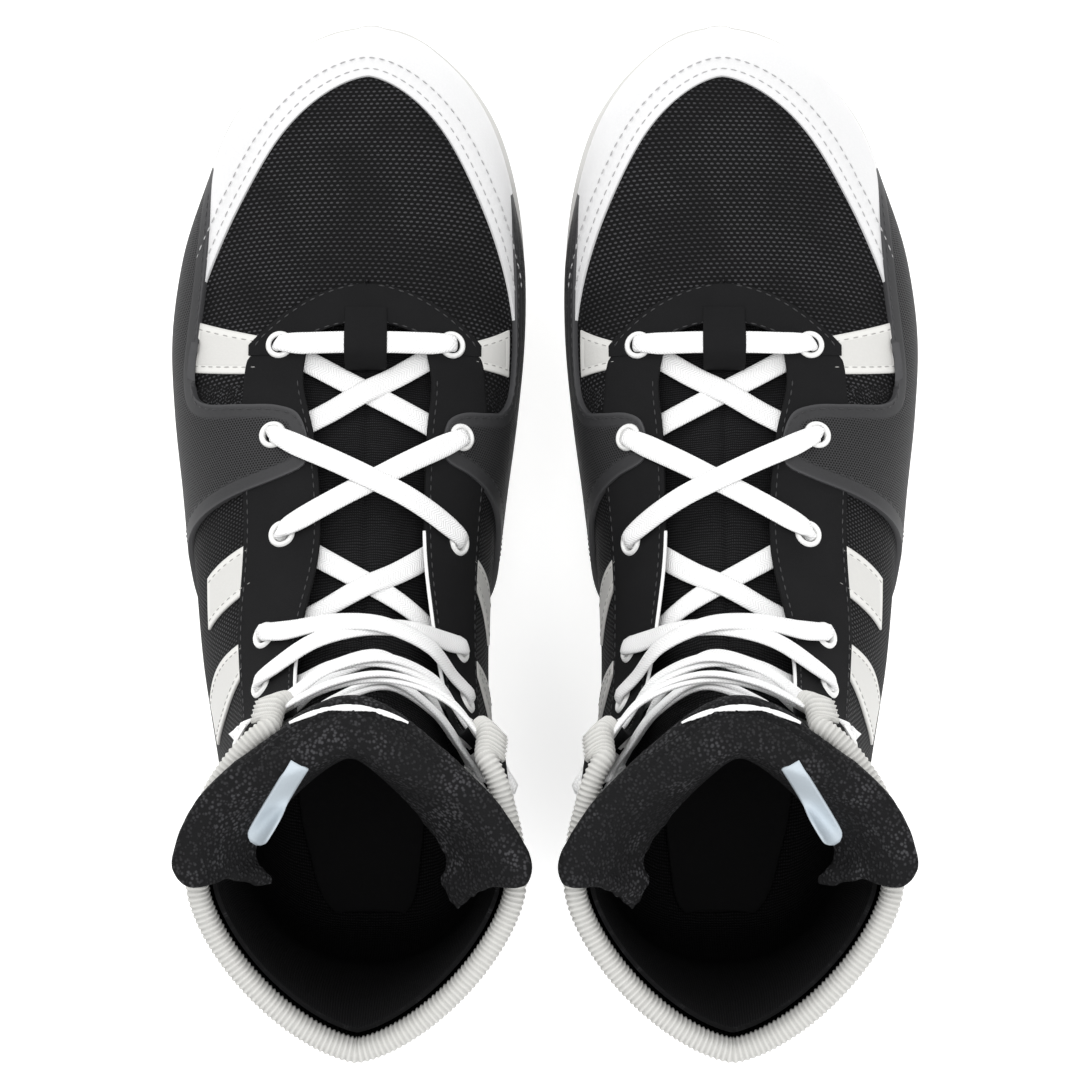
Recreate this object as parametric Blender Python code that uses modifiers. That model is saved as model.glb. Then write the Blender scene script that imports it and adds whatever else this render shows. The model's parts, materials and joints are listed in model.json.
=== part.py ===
"""A pair of boxing boots: laced mesh uppers with overlays, padded tongues and thin rubber soles.

The left boot stands at -X and the right boot is its mirror image at +X. Toes point towards +Y and
the outsoles stand on Z = 0. Every dimension below is in millimetres.

The upper is one lofted form. A place on it is (t, side, theta): t runs from the toe tip, through
the sections that fan round the heel, to the collar; side is LATERAL or MEDIAL; theta runs from 0
on the lacing line to 1 on the sole's middle line or the heel's back line. Each panel is a region
of that form, at its own depth under or over it.
"""
import math
from functools import lru_cache

import bmesh
import bpy
from mathutils import Matrix, Vector

MM = 0.001
LATERAL, MEDIAL = -1, 1
LEFT, RIGHT = -1, 1

# Driving dimensions, in millimetres.
BOOT_X = 53.0            # each boot's lacing line from the pair's middle plane
BOOT_Y = -2.4            # puts the middle of the pair's length on the origin
UPPER_THICKNESS = 1.9    # outer panels
LINING_DEPTH = 5.2       # lining's outer face under the panels' outer face
LINING_THICKNESS = 1.2
SEAM = 0.7               # clearance between neighbouring panels
OUTSOLE_TOP = 3.6        # height of the tread plate under the ball and the heel
CUP_THICKNESS = 2.2      # rubber cup round the foot of the upper
CUP_CLEARANCE = 1.1      # between the cup and the upper, for their different facets
TONGUE_DEPTH = 8.4       # tongue's outer face under the panels' outer face
TONGUE_THICKNESS = 4.0
HEAD_THICKNESS = 7.0
LACE_RADIUS = 1.1
EYELET_RADIUS = 3.7
EYELET_BORE = 2.7
EYELET_RISE = 1.0        # the rings stand this far above the facing
TAPE_HALF = 4.3          # half the width of the tape that backs the eyelets
AGLET_RADIUS = 1.3
LACE_INSIDE = -4.9       # a lace run's height under the facings
LACE_OUTSIDE = 2.9       # and where it leaves a ring
FOLD_AXIS = (-49.0, 194.5)    # y, z of the line on which the tongue's head folds
INSOLE_AXIS = (112.0, 17.5)   # y, z of the line on which the insole's heel end lifts

# Sections: lacing line y, z; sole or heel line y, z; half widths lateral, medial; middle x;
# roundness of the upper half and of the lower half (2 is an ellipse, 4 is boxy).
SECTIONS = (
    (145.5, 22, 145.5, 16, 3, 3, 0.0, 2.0, 2.0),
    (143.5, 31, 143.0, 13, 12, 11, 0.0, 2.2, 2.4),
    (139.0, 38, 138.0, 12, 22, 19, 0.0, 2.3, 3.0),
    (129.0, 45, 128.0, 10.5, 33, 29, 0.0, 2.3, 3.6),
    (115.0, 50, 114.0, 9, 42.5, 37, 0.0, 2.3, 4.2),
    (96.0, 56, 95.0, 8, 49.5, 42.5, 0.0, 2.3, 4.5),
    (76.0, 62, 74.0, 7.5, 55.0, 45.2, 0.0, 2.3, 4.5),
    (55.0, 68, 50.0, 7.5, 57.8, 45.2, 0.0, 2.3, 4.5),
    (35.0, 76, 24.0, 7.5, 56.8, 43.0, 0.0, 2.3, 4.5),
    (15.0, 86, -6.0, 7.5, 54.0, 39.5, 0.0, 2.3, 4.2),
    (-5.0, 97, -38.0, 7.5, 51.5, 36.5, 0.0, 2.2, 4.0),
    (-20.0, 108, -72.0, 7.5, 49.0, 36.0, 0.0, 2.2, 3.8),
    (-31.0, 121, -106.0, 8, 45.0, 37.0, 0.0, 2.2, 3.8),
    (-38.5, 135, -133.0, 12.5, 42.5, 39.0, 0.3, 2.2, 3.0),
    (-42.5, 149, -142.5, 40, 41.5, 41.0, 0.6, 2.2, 2.3),
    (-44.5, 161, -138.0, 78, 41.5, 42.0, 0.9, 2.3, 2.0),
    (-45.5, 172, -134.5, 116, 42.0, 43.0, 1.1, 2.4, 1.8),
    (-45.5, 183, -135.0, 153, 43.5, 44.0, 1.3, 2.5, 1.65),
    (-44.5, 193, -138.5, 190, 44.8, 44.8, 1.4, 2.5, 1.5),
    (-41.0, 209, -142.0, 208, 46.5, 46.5, 1.4, 2.5, 1.6),
)
LAST = len(SECTIONS) - 1
COLLAR = 18.0            # t of the collar's edge
SAMPLES = 72             # points on half a section
ROWS = (0.1, 0.5, 1, 1.5, 2, 3, 4, 5, 6, 7, 8, 9, 10, 11, 12, 12.5, 13, 13.5, 14, 15, 16, 17, 18)

# Lace holes: t of each row, and how far each hole is from the lacing line along the surface.
HOLE_ROWS = (7.15, 8.45, 9.8, 11.5, 12.55, 13.7, 14.85, 16.0, 17.15)
HOLE_ARCS = {
    LATERAL: (25.5, 27.0, 24.0, 30.0, 33.0, 32.5, 32.0, 31.5, 31.0),
    MEDIAL: (25.5, 29.0, 31.0, 35.5, 40.0, 42.5, 45.0, 47.0, 49.0),
}

# Panel edges as (t, distance from the lacing line).
FACING_FRONT = {
    LATERAL: ((6.95, 17), (7.6, 19), (8.45, 15.5), (9.8, 13), (11.5, 18), (12.55, 20),
              (14.85, 19), (17.15, 17), (18, 14)),
    MEDIAL: ((6.95, 17), (7.6, 20), (8.45, 19), (9.8, 19), (11.5, 24), (12.55, 28),
             (14.85, 33), (17.15, 36), (18, 33)),
}
FACING_BACK = {
    LATERAL: ((6.95, 30), (7.2, 34), (7.9, 37), (9.8, 37), (11.5, 42), (12.55, 45), (18, 43)),
    MEDIAL: ((6.95, 30), (7.2, 34), (7.9, 38), (9.8, 42), (11.5, 47.5), (12.55, 52), (18, 61)),
}
RAND_START = 2.8
RAND_END = {LATERAL: (6.3, 51.0), MEDIAL: (6.7, 49.0)}
THROAT_FRONT, THROAT_BACK = 6.3, 6.8
THROAT_ROWS = (6.31, 6.4, 6.5, 6.65, 6.8, 6.92)
SADDLE_START = 4.2
SADDLE_ROWS = (7.85, 8.05, 9.25, 9.5, 9.75)
COUNTER_ROWS = (12.85, 15.3, 15.6)
TOE_TIP = (0, 145, 19)   # middle of the small ring that closes the toe
TOE_REACH = 7            # every edge of that ring is nearer to TOE_TIP than this
FLIP_PROBE = 5           # height of the point that tells which side of a region is outside
MERGE = 0.05             # points nearer than this are one point
DEGENERATE = 0.02        # faces smaller than this are dissolved


def lerp(a, b, f):
    return a + (b - a) * f


def along(points, t):
    """Read a line of (t, value) points at t."""
    if t <= points[0][0]:
        return points[0][1]
    for (t0, v0), (t1, v1) in zip(points, points[1:]):
        if t <= t1:
            return lerp(v0, v1, (t - t0) / (t1 - t0))
    return points[-1][1]


@lru_cache(maxsize=None)
def station(t):
    """The section's nine values at t, on a smooth curve through SECTIONS."""
    i = min(int(t), LAST - 1)
    f = t - i
    rows = [SECTIONS[max(0, min(LAST, i + k))] for k in (-1, 0, 1, 2)]
    values = []
    for a, b, c, d in zip(*rows):
        bend = (2 * a - 5 * b + 4 * c - d) * f + (3 * b - a - 3 * c + d) * f * f
        values.append(b + 0.5 * f * (c - a + bend))
    return values


@lru_cache(maxsize=None)
def section(t, side):
    """Points on one side of a section, from the lacing line down, and the way run at each."""
    yf, zf, yb, zb, lateral, medial, middle, upper, lower = station(t)
    width = lateral if side == LATERAL else medial
    points = []
    for k in range(SAMPLES + 1):
        angle = math.pi * k / SAMPLES
        power = upper if angle < math.pi / 2 else lower
        c, s = math.cos(angle), abs(math.sin(angle))
        reach = (abs(c) ** power + s ** power) ** (-1 / power)
        half = 0.5 * c * reach
        points.append(Vector((middle + side * width * s * reach,
                              (yf + yb) / 2 + half * (yf - yb),
                              (zf + zb) / 2 + half * (zf - zb))))
    run = [0.0]
    for a, b in zip(points, points[1:]):
        run.append(run[-1] + (b - a).length)
    return points, run


def at(t, side, theta):
    """The point of the form at (t, side, theta), in the boot's own millimetres."""
    points, run = section(round(t, 5), side)
    way = max(0.0, min(1.0, theta)) * run[-1]
    for k in range(SAMPLES):
        if way <= run[k + 1] or k == SAMPLES - 1:
            return points[k].lerp(points[k + 1], (way - run[k]) / (run[k + 1] - run[k]))


def outward(t, side, theta):
    """The form's outward direction there."""
    dt, dth = 0.02, 0.01
    across = at(t, side, min(1, theta + dth)) - at(t, side, max(0, theta - dth))
    forward = at(min(LAST, t + dt), side, theta) - at(max(0, t - dt), side, theta)
    n = forward.cross(across) * side
    if theta <= 0.0 or theta >= 1.0:
        n.x = 0.0
    return n.normalized()


def on(t, side, theta, height):
    """The point that stands height above the form."""
    return at(t, side, theta) + outward(t, side, theta) * height


def share(t, side, arc):
    """The theta of a distance from the lacing line."""
    return arc / section(round(t, 5), side)[1][-1]


def edge(points, t, side):
    return share(t, side, along(points, t))


@lru_cache(maxsize=None)
def theta_at_rise(t, side, rise):
    """The theta at which the surface is rise above the sole line, or 1 where it stays above."""
    points, run = section(round(t, 5), side)
    level = lowest(points[-1].y) + rise
    for k in range(SAMPLES // 3, SAMPLES):
        above, below = points[k].z - level, points[k + 1].z - level
        if above >= 0 > below:
            return lerp(run[k], run[k + 1], above / (above - below)) / run[-1]
    return 1.0


def lowest(y):
    """Height of the upper's underside at y, over the toe spring."""
    return 7.5 + 0.0012 * max(0.0, y - 85.0) ** 2


def feather(t, side):
    """The theta of the feather edge, where the upper meets the lasting board."""
    if t < 0.9 or t > 13.05:
        return 1.0
    return theta_at_rise(t, side, 4.5)


def rand_edge(t, side):
    """The theta of the toe rand's inner edge, an arch round the toe."""
    end, arc = RAND_END[side]
    f = max(0.0, min(1.0, (t - RAND_START) / (end - RAND_START)))
    return share(t, side, arc * f ** 0.65)


def saddle_front(t, side):
    """The theta of the line on which the rand and the saddle's front arm meet."""
    end, arc = RAND_END[side]
    low = feather(SADDLE_START, side)
    f = (t - SADDLE_START) / (end - SADDLE_START)
    return lerp(low, share(end, side, arc), max(0.0, min(1.0, f)))


def saddle_top(t, side):
    """The theta of the saddle's upper edge: front arm, top at the facing, slanted back edge."""
    end = RAND_END[side][0]
    if t < end:
        return saddle_front(t, side)
    top = share(8.05, side, 39.5 if side == LATERAL else 41.5)
    back = feather(10.3, side)
    line = ((end, saddle_front(end, side)), (7.85, 0.325), (8.05, top), (9.0, top),
            (9.45, 0.40), (10.3, back))
    return along(line, t)


def throat_edge(t, start, side):
    """The theta of an arch round the throat that starts at t = start."""
    return share(t, side, 34.0 * math.sqrt(max(0.0, t - start) / 0.9))


def counter_edge(t, side):
    """The theta of the heel counter's upper edge."""
    return along(((12.2, feather(12.2, side)), (13, 0.74), (14, 0.68), (15, 0.76), (15.6, 1.0)), t)


def tape_edge(t, side, which):
    """The theta of the front (-1) or the back (1) edge of an eyelet tape."""
    return share(t, side, along(list(zip(HOLE_ROWS, HOLE_ARCS[side])), t) + which * TAPE_HALF)


def rows(start, end, extra=()):
    """Section places from start to end, through the shared rows between them and extra ones."""
    inner = [t for t in ROWS if start + 0.12 < t < end - 0.12]
    return sorted([start, *inner, *extra, end])


# ---------------------------------------------------------------- Blender helpers

def clear_scene():
    for thing in list(bpy.data.objects):
        bpy.data.objects.remove(thing, do_unlink=True)


def new_collection(name):
    collection = bpy.data.collections.new(name)
    bpy.context.scene.collection.children.link(collection)
    return collection


def material(name, colour, roughness, metallic=0.0):
    found = bpy.data.materials.get(name)
    if found:
        return found
    made = bpy.data.materials.new(name)
    made.use_nodes = True
    shader = made.node_tree.nodes["Principled BSDF"]
    shader.inputs["Base Color"].default_value = (*colour, 1.0)
    shader.inputs["Roughness"].default_value = roughness
    shader.inputs["Metallic"].default_value = metallic
    return made


FINISHES = {
    "black_mesh": ((0.012, 0.012, 0.013), 0.8),
    "black_suede": ((0.010, 0.010, 0.011), 0.9),
    "black_overlay": ((0.012, 0.012, 0.012), 0.55),
    "white_overlay": ((0.78, 0.76, 0.75), 0.5),
    "grey_overlay": ((0.66, 0.65, 0.64), 0.6),
    "white_binding": ((0.74, 0.73, 0.71), 0.85),
    "white_lace": ((0.80, 0.79, 0.78), 0.85),
    "white_eyelet": ((0.80, 0.79, 0.78), 0.35),
    "white_rubber": ((0.70, 0.69, 0.67), 0.6),
    "black_lining": ((0.015, 0.015, 0.016), 0.85),
    "insole_foam": ((0.03, 0.03, 0.032), 0.9),
    "board": ((0.55, 0.50, 0.42), 0.9),
    "label": ((0.45, 0.50, 0.55), 0.7),
}


class Boot:
    """One boot: puts millimetre shapes of the left boot's form in place, mirrored for the right."""

    def __init__(self, hand, collection, cutters):
        self.hand = hand
        self.name = "left" if hand == LEFT else "right"
        self.collection = collection
        self.cutters = cutters
        self.base = bpy.data.objects.new(f"{self.name}_boot_origin", None)
        self.base.location = (hand * BOOT_X * MM, BOOT_Y * MM, 0)
        collection.objects.link(self.base)

    def place(self, p):
        """A point of the form, in world metres."""
        return Vector((self.hand * (BOOT_X - p.x), p.y + BOOT_Y, p.z)) * MM

    def add(self, name, shape, finish, axis=None):
        """Make the named object, with its origin on axis (y, z) or at the boot's own origin."""
        y, z = axis or (0.0, 0.0)
        origin = Vector((self.hand * BOOT_X, y + BOOT_Y, z)) * MM
        shape.transform(Matrix.Translation(-origin))
        thing = bpy.data.objects.new(f"{self.name}_{name}", shape)
        shape.name = thing.name
        shape.materials.append(material(finish, *FINISHES[finish]))
        self.collection.objects.link(thing)
        thing.parent = self.base
        thing.location = origin - self.base.location
        return thing

    def sheet(self, regions):
        """One surface from several (mapping, columns, rows, height) regions, faces outward."""
        joined = bmesh.new()
        for region, columns, row_count, height in regions:
            part = bmesh.new()
            bmesh.ops.create_grid(part, x_segments=columns, y_segments=row_count, size=0.5)
            for vertex in part.verts:
                u, v = vertex.co.x + 0.5, vertex.co.y + 0.5
                t, side, theta = region(u, v)
                rise = height(u, v) if callable(height) else height
                vertex.co = self.place(on(t, side, theta, rise))
            part.normal_update()
            face = sorted(part.faces, key=lambda f: -f.calc_area())[0]
            u, v = self.nearest(region, face.calc_center_median())
            t, side, theta = region(u, v)
            out = self.place(on(t, side, theta, FLIP_PROBE)) - self.place(at(t, side, theta))
            if face.normal.dot(out) < 0:
                bmesh.ops.reverse_faces(part, faces=part.faces)
            mesh = bpy.data.meshes.new("region")
            part.to_mesh(mesh)
            part.free()
            joined.from_mesh(mesh)
            bpy.data.meshes.remove(mesh)
        bmesh.ops.remove_doubles(joined, verts=joined.verts, dist=MERGE * MM)
        bmesh.ops.dissolve_degenerate(joined, dist=DEGENERATE * MM, edges=joined.edges)
        return joined

    def nearest(self, region, point):
        """The (u, v) of a region whose surface point is nearest to a world point."""
        choices = [(i / 8, j / 8) for i in range(9) for j in range(9)]
        return min(choices, key=lambda uv: (self.place(at(*region(*uv))) - point).length)

    def shell(self, name, regions, thickness, finish, axis=None, close_toe=False):
        """A named wall: the surface of the regions, thickened inwards."""
        surface = self.sheet(regions)
        if close_toe:
            tip = self.place(Vector(TOE_TIP))
            rim = [e for e in surface.edges if e.is_boundary]
            near = [e for e in rim if all((v.co - tip).length < TOE_REACH * MM for v in e.verts)]
            bmesh.ops.holes_fill(surface, edges=near, sides=0)
        bmesh.ops.triangulate(surface, faces=[f for f in surface.faces if len(f.verts) > 4])
        mesh = bpy.data.meshes.new(name)
        surface.to_mesh(mesh)
        surface.free()
        thing = self.add(name, mesh, finish, axis)
        wall = thing.modifiers.new("thickness", "SOLIDIFY")
        wall.thickness = thickness * MM
        wall.offset = -1.0
        return thing

    def band(self, start, end, inner, outer, side, columns, height=0.0, extra=(), crowd=1.0):
        """A region between two edges, each a theta for every t and side.

        Its columns crowd towards the inner edge when crowd is over 1.
        """
        places = rows(start, end, extra)

        def region(u, v):
            t = places[round(v * (len(places) - 1))]
            return t, side, lerp(inner(t, side), outer(t, side), u ** crowd)

        return region, columns, len(places) - 1, height

    def both(self, start, end, inner, outer, columns, height=0.0, extra=(), crowd=1.0):
        return [self.band(start, end, inner, outer, side, columns, height, extra, crowd)
                for side in (LATERAL, MEDIAL)]


def gap(t, side, clearance=SEAM):
    """The theta of a seam's clearance."""
    return share(t, side, clearance)


def centre(t, side):
    return 0.0


def back_line(t, side):
    return 1.0


def cut(thing, cutter):
    """Boolean modifier that takes the cutter away from the thing."""
    tool = thing.modifiers.new("cut", "BOOLEAN")
    tool.operation = "DIFFERENCE"
    tool.solver = "EXACT"
    tool.object = cutter


# ---------------------------------------------------------------- the boot's pieces

def make_soles(boot):
    """Tread plate, rubber cup, lasting board and the insole that lifts out."""
    def tread_edge(t, side):
        return min(1.0, theta_at_rise(t, side, 1.6) + 0.01)

    plate = boot.sheet(boot.both(1.0, 13.0, tread_edge, back_line, 4))
    for vertex in plate.verts:
        y = vertex.co.y / MM - BOOT_Y
        vertex.co.z = (lowest(y) - 7.5 + OUTSOLE_TOP) * MM
    bottom = bmesh.ops.extrude_face_region(plate, geom=plate.faces[:])
    for vertex in [g for g in bottom["geom"] if isinstance(g, bmesh.types.BMVert)]:
        y = vertex.co.y / MM - BOOT_Y
        vertex.co.z = (lowest(y) - 7.5) * MM
    bmesh.ops.recalc_face_normals(plate, faces=plate.faces)
    mesh = bpy.data.meshes.new("outsole")
    plate.to_mesh(mesh)
    plate.free()
    boot.add("outsole", mesh, "white_rubber")

    def cup_edge(t, side):
        rise = along(((0.6, 4.0), (2.0, 5.0), (4.0, 8.5), (12.0, 9.0), (13.4, 12.0)), t)
        if t > 13.02:
            return along(((13.02, 0.90), (13.32, 0.955)), t)
        return theta_at_rise(t, side, rise)

    cup_height = CUP_CLEARANCE + CUP_THICKNESS
    cup = boot.both(0.6, 13.32, cup_edge, back_line, 6, cup_height, (), 1.5)
    boot.shell("midsole_cup", cup, CUP_THICKNESS, "white_rubber")

    def board_edge(t, side):
        return feather(t, side) + gap(t, side, 2.2)

    boot.shell("lasting_board", boot.both(1.05, 12.7, board_edge, back_line, 3, 0.0),
               UPPER_THICKNESS, "board")

    def insole_edge(t, side):
        return min(0.985, feather(t, side) + gap(t, side, 11.0))

    depth = -(LINING_DEPTH + LINING_THICKNESS + 1.9)
    boot.shell("insole", boot.both(2.2, 12.3, insole_edge, back_line, 4, depth),
               2.6, "insole_foam", INSOLE_AXIS)


def make_lining(boot):
    """The inner bootie, open at the collar and along the facings."""
    throat, open_from = 6.78, 6.92
    columns = (0, 0.2, 0.38, 0.49, 0.58, 0.67, 0.78, 0.89, 1)

    regions = []
    for side in (LATERAL, MEDIAL):
        places = rows(0.3, 17.65, (throat, open_from))
        places.remove(7)

        def region(u, v, side=side, places=places):
            t = places[round(v * (len(places) - 1))]
            front = 0.0 if t < open_from else tape_edge(t, side, 1) + gap(t, side, 1.2)
            return t, side, lerp(front, 1.0, columns[round(u * (len(columns) - 1))])

        regions.append((region, len(columns) - 1, len(places) - 1, -LINING_DEPTH))
    boot.shell("lining", regions, LINING_THICKNESS, "black_lining", close_toe=True)


def make_toe(boot):
    """Toe rand, vamp and the throat overlay."""
    def rand_outer(t, side):
        if t <= SADDLE_START:
            return feather(t, side)
        return min(feather(t, side), saddle_front(t, side) - gap(t, side))

    regions = []
    for side in (LATERAL, MEDIAL):
        end = RAND_END[side][0] - 0.35
        regions.append(boot.band(0.3, end, rand_edge, rand_outer, side, 5))
    boot.shell("toe_rand", regions, UPPER_THICKNESS, "white_overlay", close_toe=True)

    def vamp_inner(t, side):
        if t < THROAT_FRONT:
            return 0.0
        if t < 7.2:
            return throat_edge(t, THROAT_FRONT, side) + gap(t, side, 1.1)
        return edge(FACING_BACK[side], t, side) + gap(t, side, 1.1)

    def vamp_outer(t, side):
        if t < RAND_END[side][0]:
            return rand_edge(t, side) - gap(t, side, 0.7)
        return saddle_top(t, side) - gap(t, side, 0.7)

    boot.shell("vamp", boot.both(3.0, 7.78, vamp_inner, vamp_outer, 3, 0.0, THROAT_ROWS + (7.2,)),
               UPPER_THICKNESS, "black_mesh")

    def throat_outer(t, side):
        return throat_edge(t, THROAT_FRONT, side)

    def throat_inner(t, side):
        return throat_edge(t, THROAT_BACK, side) if t > THROAT_BACK else 0.0

    boot.shell("throat_overlay", boot.both(6.4, 6.92, throat_inner, throat_outer, 3, 0.0,
                                           THROAT_ROWS[2:-1]),
               UPPER_THICKNESS, "black_suede")


def make_sides(boot):
    """Saddles, quarters and the heel counter."""
    for side, name in ((LATERAL, "lateral"), (MEDIAL, "medial")):
        def saddle_inner(t, s):
            return saddle_top(t, s) + gap(t, s)

        def saddle_outer(t, s):
            return feather(t, s)

        boot.shell(f"{name}_saddle",
                   [boot.band(SADDLE_START + 0.25, 10.1, saddle_inner, saddle_outer, side, 5,
                              0.0, SADDLE_ROWS)],
                   UPPER_THICKNESS, "black_overlay")

        def quarter_inner(t, s):
            return edge(FACING_BACK[s], t, s) + gap(t, s, 1.0)

        def quarter_outer(t, s):
            if t < 10.3:
                return max(saddle_top(t, s) - gap(t, s, 1.0), quarter_inner(t, s) + 0.01)
            if t < 12.2:
                return feather(t, s)
            return min(counter_edge(t, s), 1.0) - gap(t, s, 1.2)

        boot.shell(f"{name}_quarter",
                   [boot.band(9.06, 17.65, quarter_inner, quarter_outer, side, 8,
                              0.0, SADDLE_ROWS[2:] + COUNTER_ROWS[1:], 0.8)],
                   UPPER_THICKNESS, "black_mesh")

    def counter_top(t, s):
        return min(counter_edge(t, s) + gap(t, s, 0.6), 1.0)

    boot.shell("heel_counter", boot.both(12.35, 15.45, counter_top, feather, 5, 0.0, COUNTER_ROWS[:2]),
               UPPER_THICKNESS, "black_overlay")


def hole_frames(boot, side):
    """World place and outward direction of each lace hole on one side."""
    for t, arc in zip(HOLE_ROWS, HOLE_ARCS[side]):
        theta = share(t, side, arc)
        place = boot.place(at(t, side, theta))
        out = (boot.place(on(t, side, theta, 5)) - place).normalized()
        yield place, out


def posts(boot, name, side, radius, low, high):
    """Six-sided posts at the lace holes of one side, from low to high above the surface."""
    mesh = bpy.data.meshes.new(name)
    shape = bmesh.new()
    for place, out in hole_frames(boot, side):
        turn = out.to_track_quat("Z", "Y").to_matrix().to_4x4()
        middle = Matrix.Translation(place + out * (low + high) / 2 * MM) @ turn
        bmesh.ops.create_cone(shape, cap_ends=True, segments=6, radius1=radius * MM,
                              radius2=radius * MM, depth=(high - low) * MM, matrix=middle)
    shape.to_mesh(mesh)
    shape.free()
    thing = bpy.data.objects.new(name, mesh)
    thing.hide_render = True
    thing.display_type = "WIRE"
    boot.cutters.objects.link(thing)
    return thing


def make_facings(boot):
    """Lacing facings with their holes, and the eyelets on their backing tapes."""
    for side, name in ((LATERAL, "lateral"), (MEDIAL, "medial")):
        def inner(t, s):
            return edge(FACING_FRONT[s], t, s)

        def outer(t, s):
            return edge(FACING_BACK[s], t, s)

        facing = boot.shell(f"{name}_facing", [boot.band(6.98, 17.65, inner, outer, side, 2, 0.0,
                                                          (7.2, 7.78))],
                            UPPER_THICKNESS, "black_suede")
        cut(facing, posts(boot, f"{boot.name}_{name}_hole_cutter", side, EYELET_RADIUS + 0.4,
                          -3.5, 3.0))

        def tape_inner(t, s):
            return tape_edge(t, s, -1)

        def tape_outer(t, s):
            return tape_edge(t, s, 1)

        tape = boot.shell(f"{name}_eyelets", [boot.band(6.98, 17.65, tape_inner, tape_outer, side, 1,
                                                        -UPPER_THICKNESS - 1.0)],
                          0.5, "white_eyelet")
        rings = tape.modifiers.new("rings", "BOOLEAN")
        rings.operation = "UNION"
        rings.solver = "EXACT"
        rings.object = posts(boot, f"{boot.name}_{name}_ring_posts", side, EYELET_RADIUS,
                             -UPPER_THICKNESS - 1.6, EYELET_RISE)
        cut(tape, posts(boot, f"{boot.name}_{name}_bore_cutter", side, EYELET_BORE, -4.5, 3.0))


def make_patches(boot):
    """Pale patches sewn over the sides: two by the toes' joint and two over the instep."""
    outlines = {
        "lateral_front_patch": (LATERAL, ((6.85, 33, 53), (7.1, 32, 54), (7.55, 33, 55))),
        "medial_front_patch": (MEDIAL, ((6.85, 34, 46), (7.1, 33, 47), (7.5, 33, 48))),
        "lateral_rear_patch": (LATERAL, ((9.85, 30, 34), (10.15, 30.5, 56), (10.5, 31, 58),
                                         (10.85, 50, 59))),
        "medial_rear_patch": (MEDIAL, ((9.85, 35, 52), (10.1, 37, 62), (10.4, 44, 68),
                                       (10.7, 62, 70))),
    }
    for name, (side, outline) in outlines.items():
        def region(u, v, side=side, outline=outline):
            t, near, far = outline[round(v * (len(outline) - 1))]
            return t, side, share(t, side, lerp(near, far, u))
        boot.shell(name, [(region, 4, len(outline) - 1, 2.3)], 0.7, "grey_overlay")


def make_collar(boot):
    """The binding over the edge of the quarters and the lining."""
    def front(t, s):
        return edge(FACING_FRONT[s], t, s)

    regions = boot.both(17.68, COLLAR, front, back_line, 12, 0.7)
    boot.shell("collar_binding", regions, 5.4, "white_binding")


def make_tongue(boot):
    """Tongue under the facings, its padded head, the size label and the lace loop."""
    def body_edge(t, s):
        return share(t, s, along(((6.2, 16), (7.0, 29), (9.8, 33), (12.5, 40), (18, 46)), t))

    boot.shell("tongue", boot.both(6.6, 17.75, centre, body_edge, 3, -TONGUE_DEPTH),
               TONGUE_THICKNESS, "black_mesh")

    def head_edge(t, s):
        return along(((17.85, 0.20), (18.3, 0.42), (19.0, 0.47)), t)

    places = (17.9, 18.25, 18.6, 19.0)

    def flare(u, v):
        return along(((0.0, -TONGUE_DEPTH), (0.34, -3.0), (0.67, 3.0), (1.0, 4.5)), v)

    def head(side):
        def region(u, v):
            t = places[round(v * 3)]
            return t, side, head_edge(t, side) * u
        return region, 6, 3, flare

    boot.shell("tongue_head", [head(LATERAL), head(MEDIAL)], HEAD_THICKNESS, "black_mesh",
               FOLD_AXIS)

    def label_region(u, v):
        t = lerp(18.35, 18.75, v)
        return t, LATERAL, share(t, LATERAL, lerp(6.0, 30.0, u))

    def label_depth(u, v):
        return flare(0, (lerp(18.35, 18.75, v) - 17.9) / 1.1) - HEAD_THICKNESS - 3.8

    boot.shell("size_label", [(label_region, 3, 1, label_depth)], 0.5, "label", FOLD_AXIS)

    loop_t = (6.87, 6.95, 7.03, 7.27, 7.36, 7.5)
    loop_height = (-TONGUE_DEPTH + 2.0, 1.0, 4.2, 4.2, 0.5, -TONGUE_DEPTH + 2.0)

    def loop_side(side):
        def region(u, v):
            t = loop_t[round(v * 5)]
            return t, side, share(t, side, 6.0 * u)
        return region, 1, 5, lambda u, v: loop_height[round(v * 5)]

    boot.shell("lace_loop", [loop_side(LATERAL), loop_side(MEDIAL)], 1.0, "black_overlay")


def hole(row, side):
    """Section place, side and theta of a lace hole; rows count from 1 at the toe end."""
    t = HOLE_ROWS[row - 1]
    return t, side, share(t, side, HOLE_ARCS[side][row - 1])


def run_points(start, end, heights):
    """Points of a lace run between two holes, at the given heights over the form."""
    (t0, s0, th0), (t1, s1, th1) = start, end
    points = []
    for f, height in zip((0.22, 0.5, 0.78), heights):
        across = lerp(s0 * th0, s1 * th1, f)
        side = LATERAL if across < 0 else MEDIAL
        points.append(on(lerp(t0, t1, f), side, abs(across), height))
    return points


def tucked(t, side):
    """A point of the line on which a lace end and its aglet lie, behind the holes."""
    arc = along(list(zip(HOLE_ROWS, HOLE_ARCS[side])), t) + 3.0
    return on(t, side, share(t, side, arc), LACE_INSIDE)


def lace_end(side):
    """Points of a lace end from its last hole, tucked between the facing and the tongue."""
    return [tucked(t, side) for t in (16.85, 16.55, 16.25)]


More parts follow.
